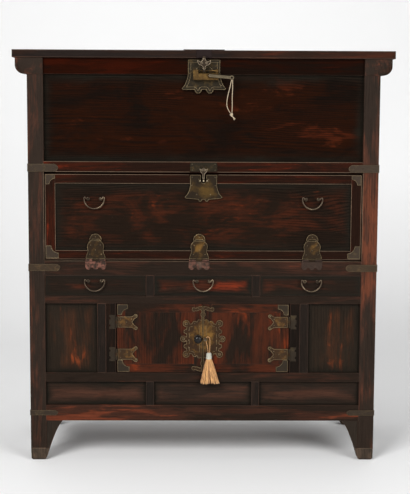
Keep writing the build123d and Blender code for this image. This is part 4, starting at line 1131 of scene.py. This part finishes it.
# %% Beads
OPENING_X, OPENING_Z, RAIL_X, RAIL_TOP = 463.8, (598, 855), 462, 886
OPENING_SILL, OPENING_HEAD, PLATE_X = 596.6, 857.2, (40, 42)
FRAME_X, FRAME_Z, PANEL_X, PANEL_Z = 459, (602.5, 849), 430.6, (627.4, 823.6)
FOOT_X, FOOT_Z = (463.6, 507.4), 36


def bead(start, end, radius=0.7):
    """A half-round strip between two points of the front, (x, z) in millimetres."""
    line = np.linspace((start[0], FACE, start[1]), (end[0], FACE, end[1]), 9) * MM
    lying = abs(start[0] - end[0]) > abs(start[1] - end[1])
    return tube(line, radius * MM, 8, (0, 0, 1) if lying else (1, 0, 0))


BEADS = {
    "opening_beads": ("carcass", [
        bead((-RAIL_X, RAIL_TOP), (RAIL_X, RAIL_TOP)),
        bead((-RAIL_X - 1, OPENING_SILL), (RAIL_X + 1, OPENING_SILL), 0.6),
        *(bead((s * OPENING_X, OPENING_Z[0]), (s * OPENING_X, OPENING_Z[1])) for s in SIDES),
        *(bead((s * PLATE_X[0], OPENING_HEAD), (s * OPENING_X, OPENING_HEAD)) for s in SIDES)]),
    "drop_front_beads": ("drop_front", [
        *(bead((-PANEL_X, z), (PANEL_X, z)) for z in PANEL_Z),
        *(bead((s * PANEL_X, PANEL_Z[0]), (s * PANEL_X, PANEL_Z[1])) for s in SIDES),
        bead((-FRAME_X, FRAME_Z[0]), (FRAME_X, FRAME_Z[0]), 0.5),
        *(bead((s * PLATE_X[1], FRAME_Z[1]), (s * FRAME_X, FRAME_Z[1])) for s in SIDES),
        *(bead((s * FRAME_X, FRAME_Z[0]), (s * FRAME_X, FRAME_Z[1])) for s in SIDES)]),
    "foot_joints": ("carcass", [
        bead((s * FOOT_X[0], FOOT_Z), (s * FOOT_X[1], FOOT_Z), 0.5) for s in SIDES]),
}
for name, (body, strips) in BEADS.items():
    obj = piece(name, strips, body, "rubbed_bead")
    points = read(obj.data.vertices, "co")
    for fact, rows in {"grain": points + 5, "place": points * 0, "half": points * 0 + 1}.items():
        remember(obj.data, fact, rows)
    print(name, len(strips))

# %% [markdown]
# ## The studio
# A pale sweep: floor, a slow curve and a wall in one sheet, so that no horizon shows. Its paper
# is painted darker on the wall than on the floor, and darker still towards the top of the wall:
# painted shade. A camera behind the wall looks through it, because the back of the paper lets
# camera rays pass. A wide soft lamp stands in front, high and to the left, a weaker one to the
# right, and one above lights the sweep behind the chest. The world is a dim grey, which is what
# the fronts of the plates mirror.

# %% Sweep
HALF_SWEEP, CURVE_AT, CURVE, WALL_TOPS = 12, 1.6, 1.2, (3.0, 6.0)


def sweep_grid():
    """Floor to y = 1.6, a quarter round of 1.2, then a wall; x runs from side to side."""
    a = np.linspace(0, pi / 2, 14)
    wall_at = CURVE_AT + CURVE
    y = np.concatenate([np.linspace(-HALF_SWEEP, CURVE_AT, 12), CURVE_AT + CURVE * np.sin(a[1:]),
                        [wall_at, wall_at]])[:, None]
    z = np.concatenate([np.zeros(12), CURVE - CURVE * np.cos(a[1:]), WALL_TOPS])[:, None]
    x = np.linspace(-HALF_SWEEP, HALF_SWEEP, 9)
    grid = np.stack(np.broadcast_arrays(x, y, z), -1)
    r, c = np.meshgrid(np.arange(len(y) - 1), np.arange(8), indexing="ij")
    here = r * 9 + c
    faces = np.stack([here, here + 1, here + 10, here + 9], -1).reshape(-1, 4)
    return grid.reshape(-1, 3), faces.tolist()


def grey(value):
    """A grey in linear values."""
    return (value, value, value, 1)


tree, shader = new_material("studio_paper")
place = world_place(tree)
# Painted shade: the paper is lightest on the floor, darker on the wall and darker still higher up.
paper = mixed(tree, place.part(2).step(0.9, 2.4), grey(0.82), grey(0.77))
wire(tree, shader, {"Base Color": mixed(tree, place.part(1).step(0.4, 1.6), grey(0.88), paper),
                    "Roughness": 0.9, "Specular IOR Level": 0.1})
behind = add(tree, "NewGeometry", output="Backfacing")
seen = add(tree, "LightPath", output="Is Camera Ray")
see_through = add(tree, "MixShader", {0: behind * seen, 1: Value(tree, shader.outputs[0]),
                                      2: add(tree, "BsdfTransparent")})
wire(tree, tree.nodes["Material Output"], {"Surface": see_through})
sweep = placed("sweep", surface("sweep", *sweep_grid(), "studio_paper"))
print("sweep:", len(sweep.data.polygons), "faces")


# %% Lamps and world
def lamp(name, at, aim, size, power, spread=180):
    """A square area lamp at a place, aimed at a point; spread narrows its beam, in degrees."""
    data = bpy.data.lights.new(name, "AREA")
    data.size, data.energy, data.spread = size, power, radians(spread)
    obj = placed(name, data)
    obj.location = at
    obj.rotation_euler = (Vector(aim) - Vector(at)).to_track_quat("-Z", "Y").to_euler()


lamp("key_lamp", (-2.2, -4.0, 3.0), (0, 0, 0.6), 2.0, 218)
lamp("fill_lamp", (2.6, -3.6, 2.0), (0, 0, 0.6), 2.2, 128)
lamp("back_lamp", (0, 0.9, 3.8), (0.2, 2.8, 0.5), 3.0, 18, 110)
world = bpy.data.worlds.new("studio")
bpy.context.scene.world = world
world.use_nodes = True
wire(world.node_tree, world.node_tree.nodes["Background"], {"Color": grey(1), "Strength": 0.25})
bpy.context.scene.view_settings.view_transform = "Standard"
print("lamps:", len(bpy.data.lights))
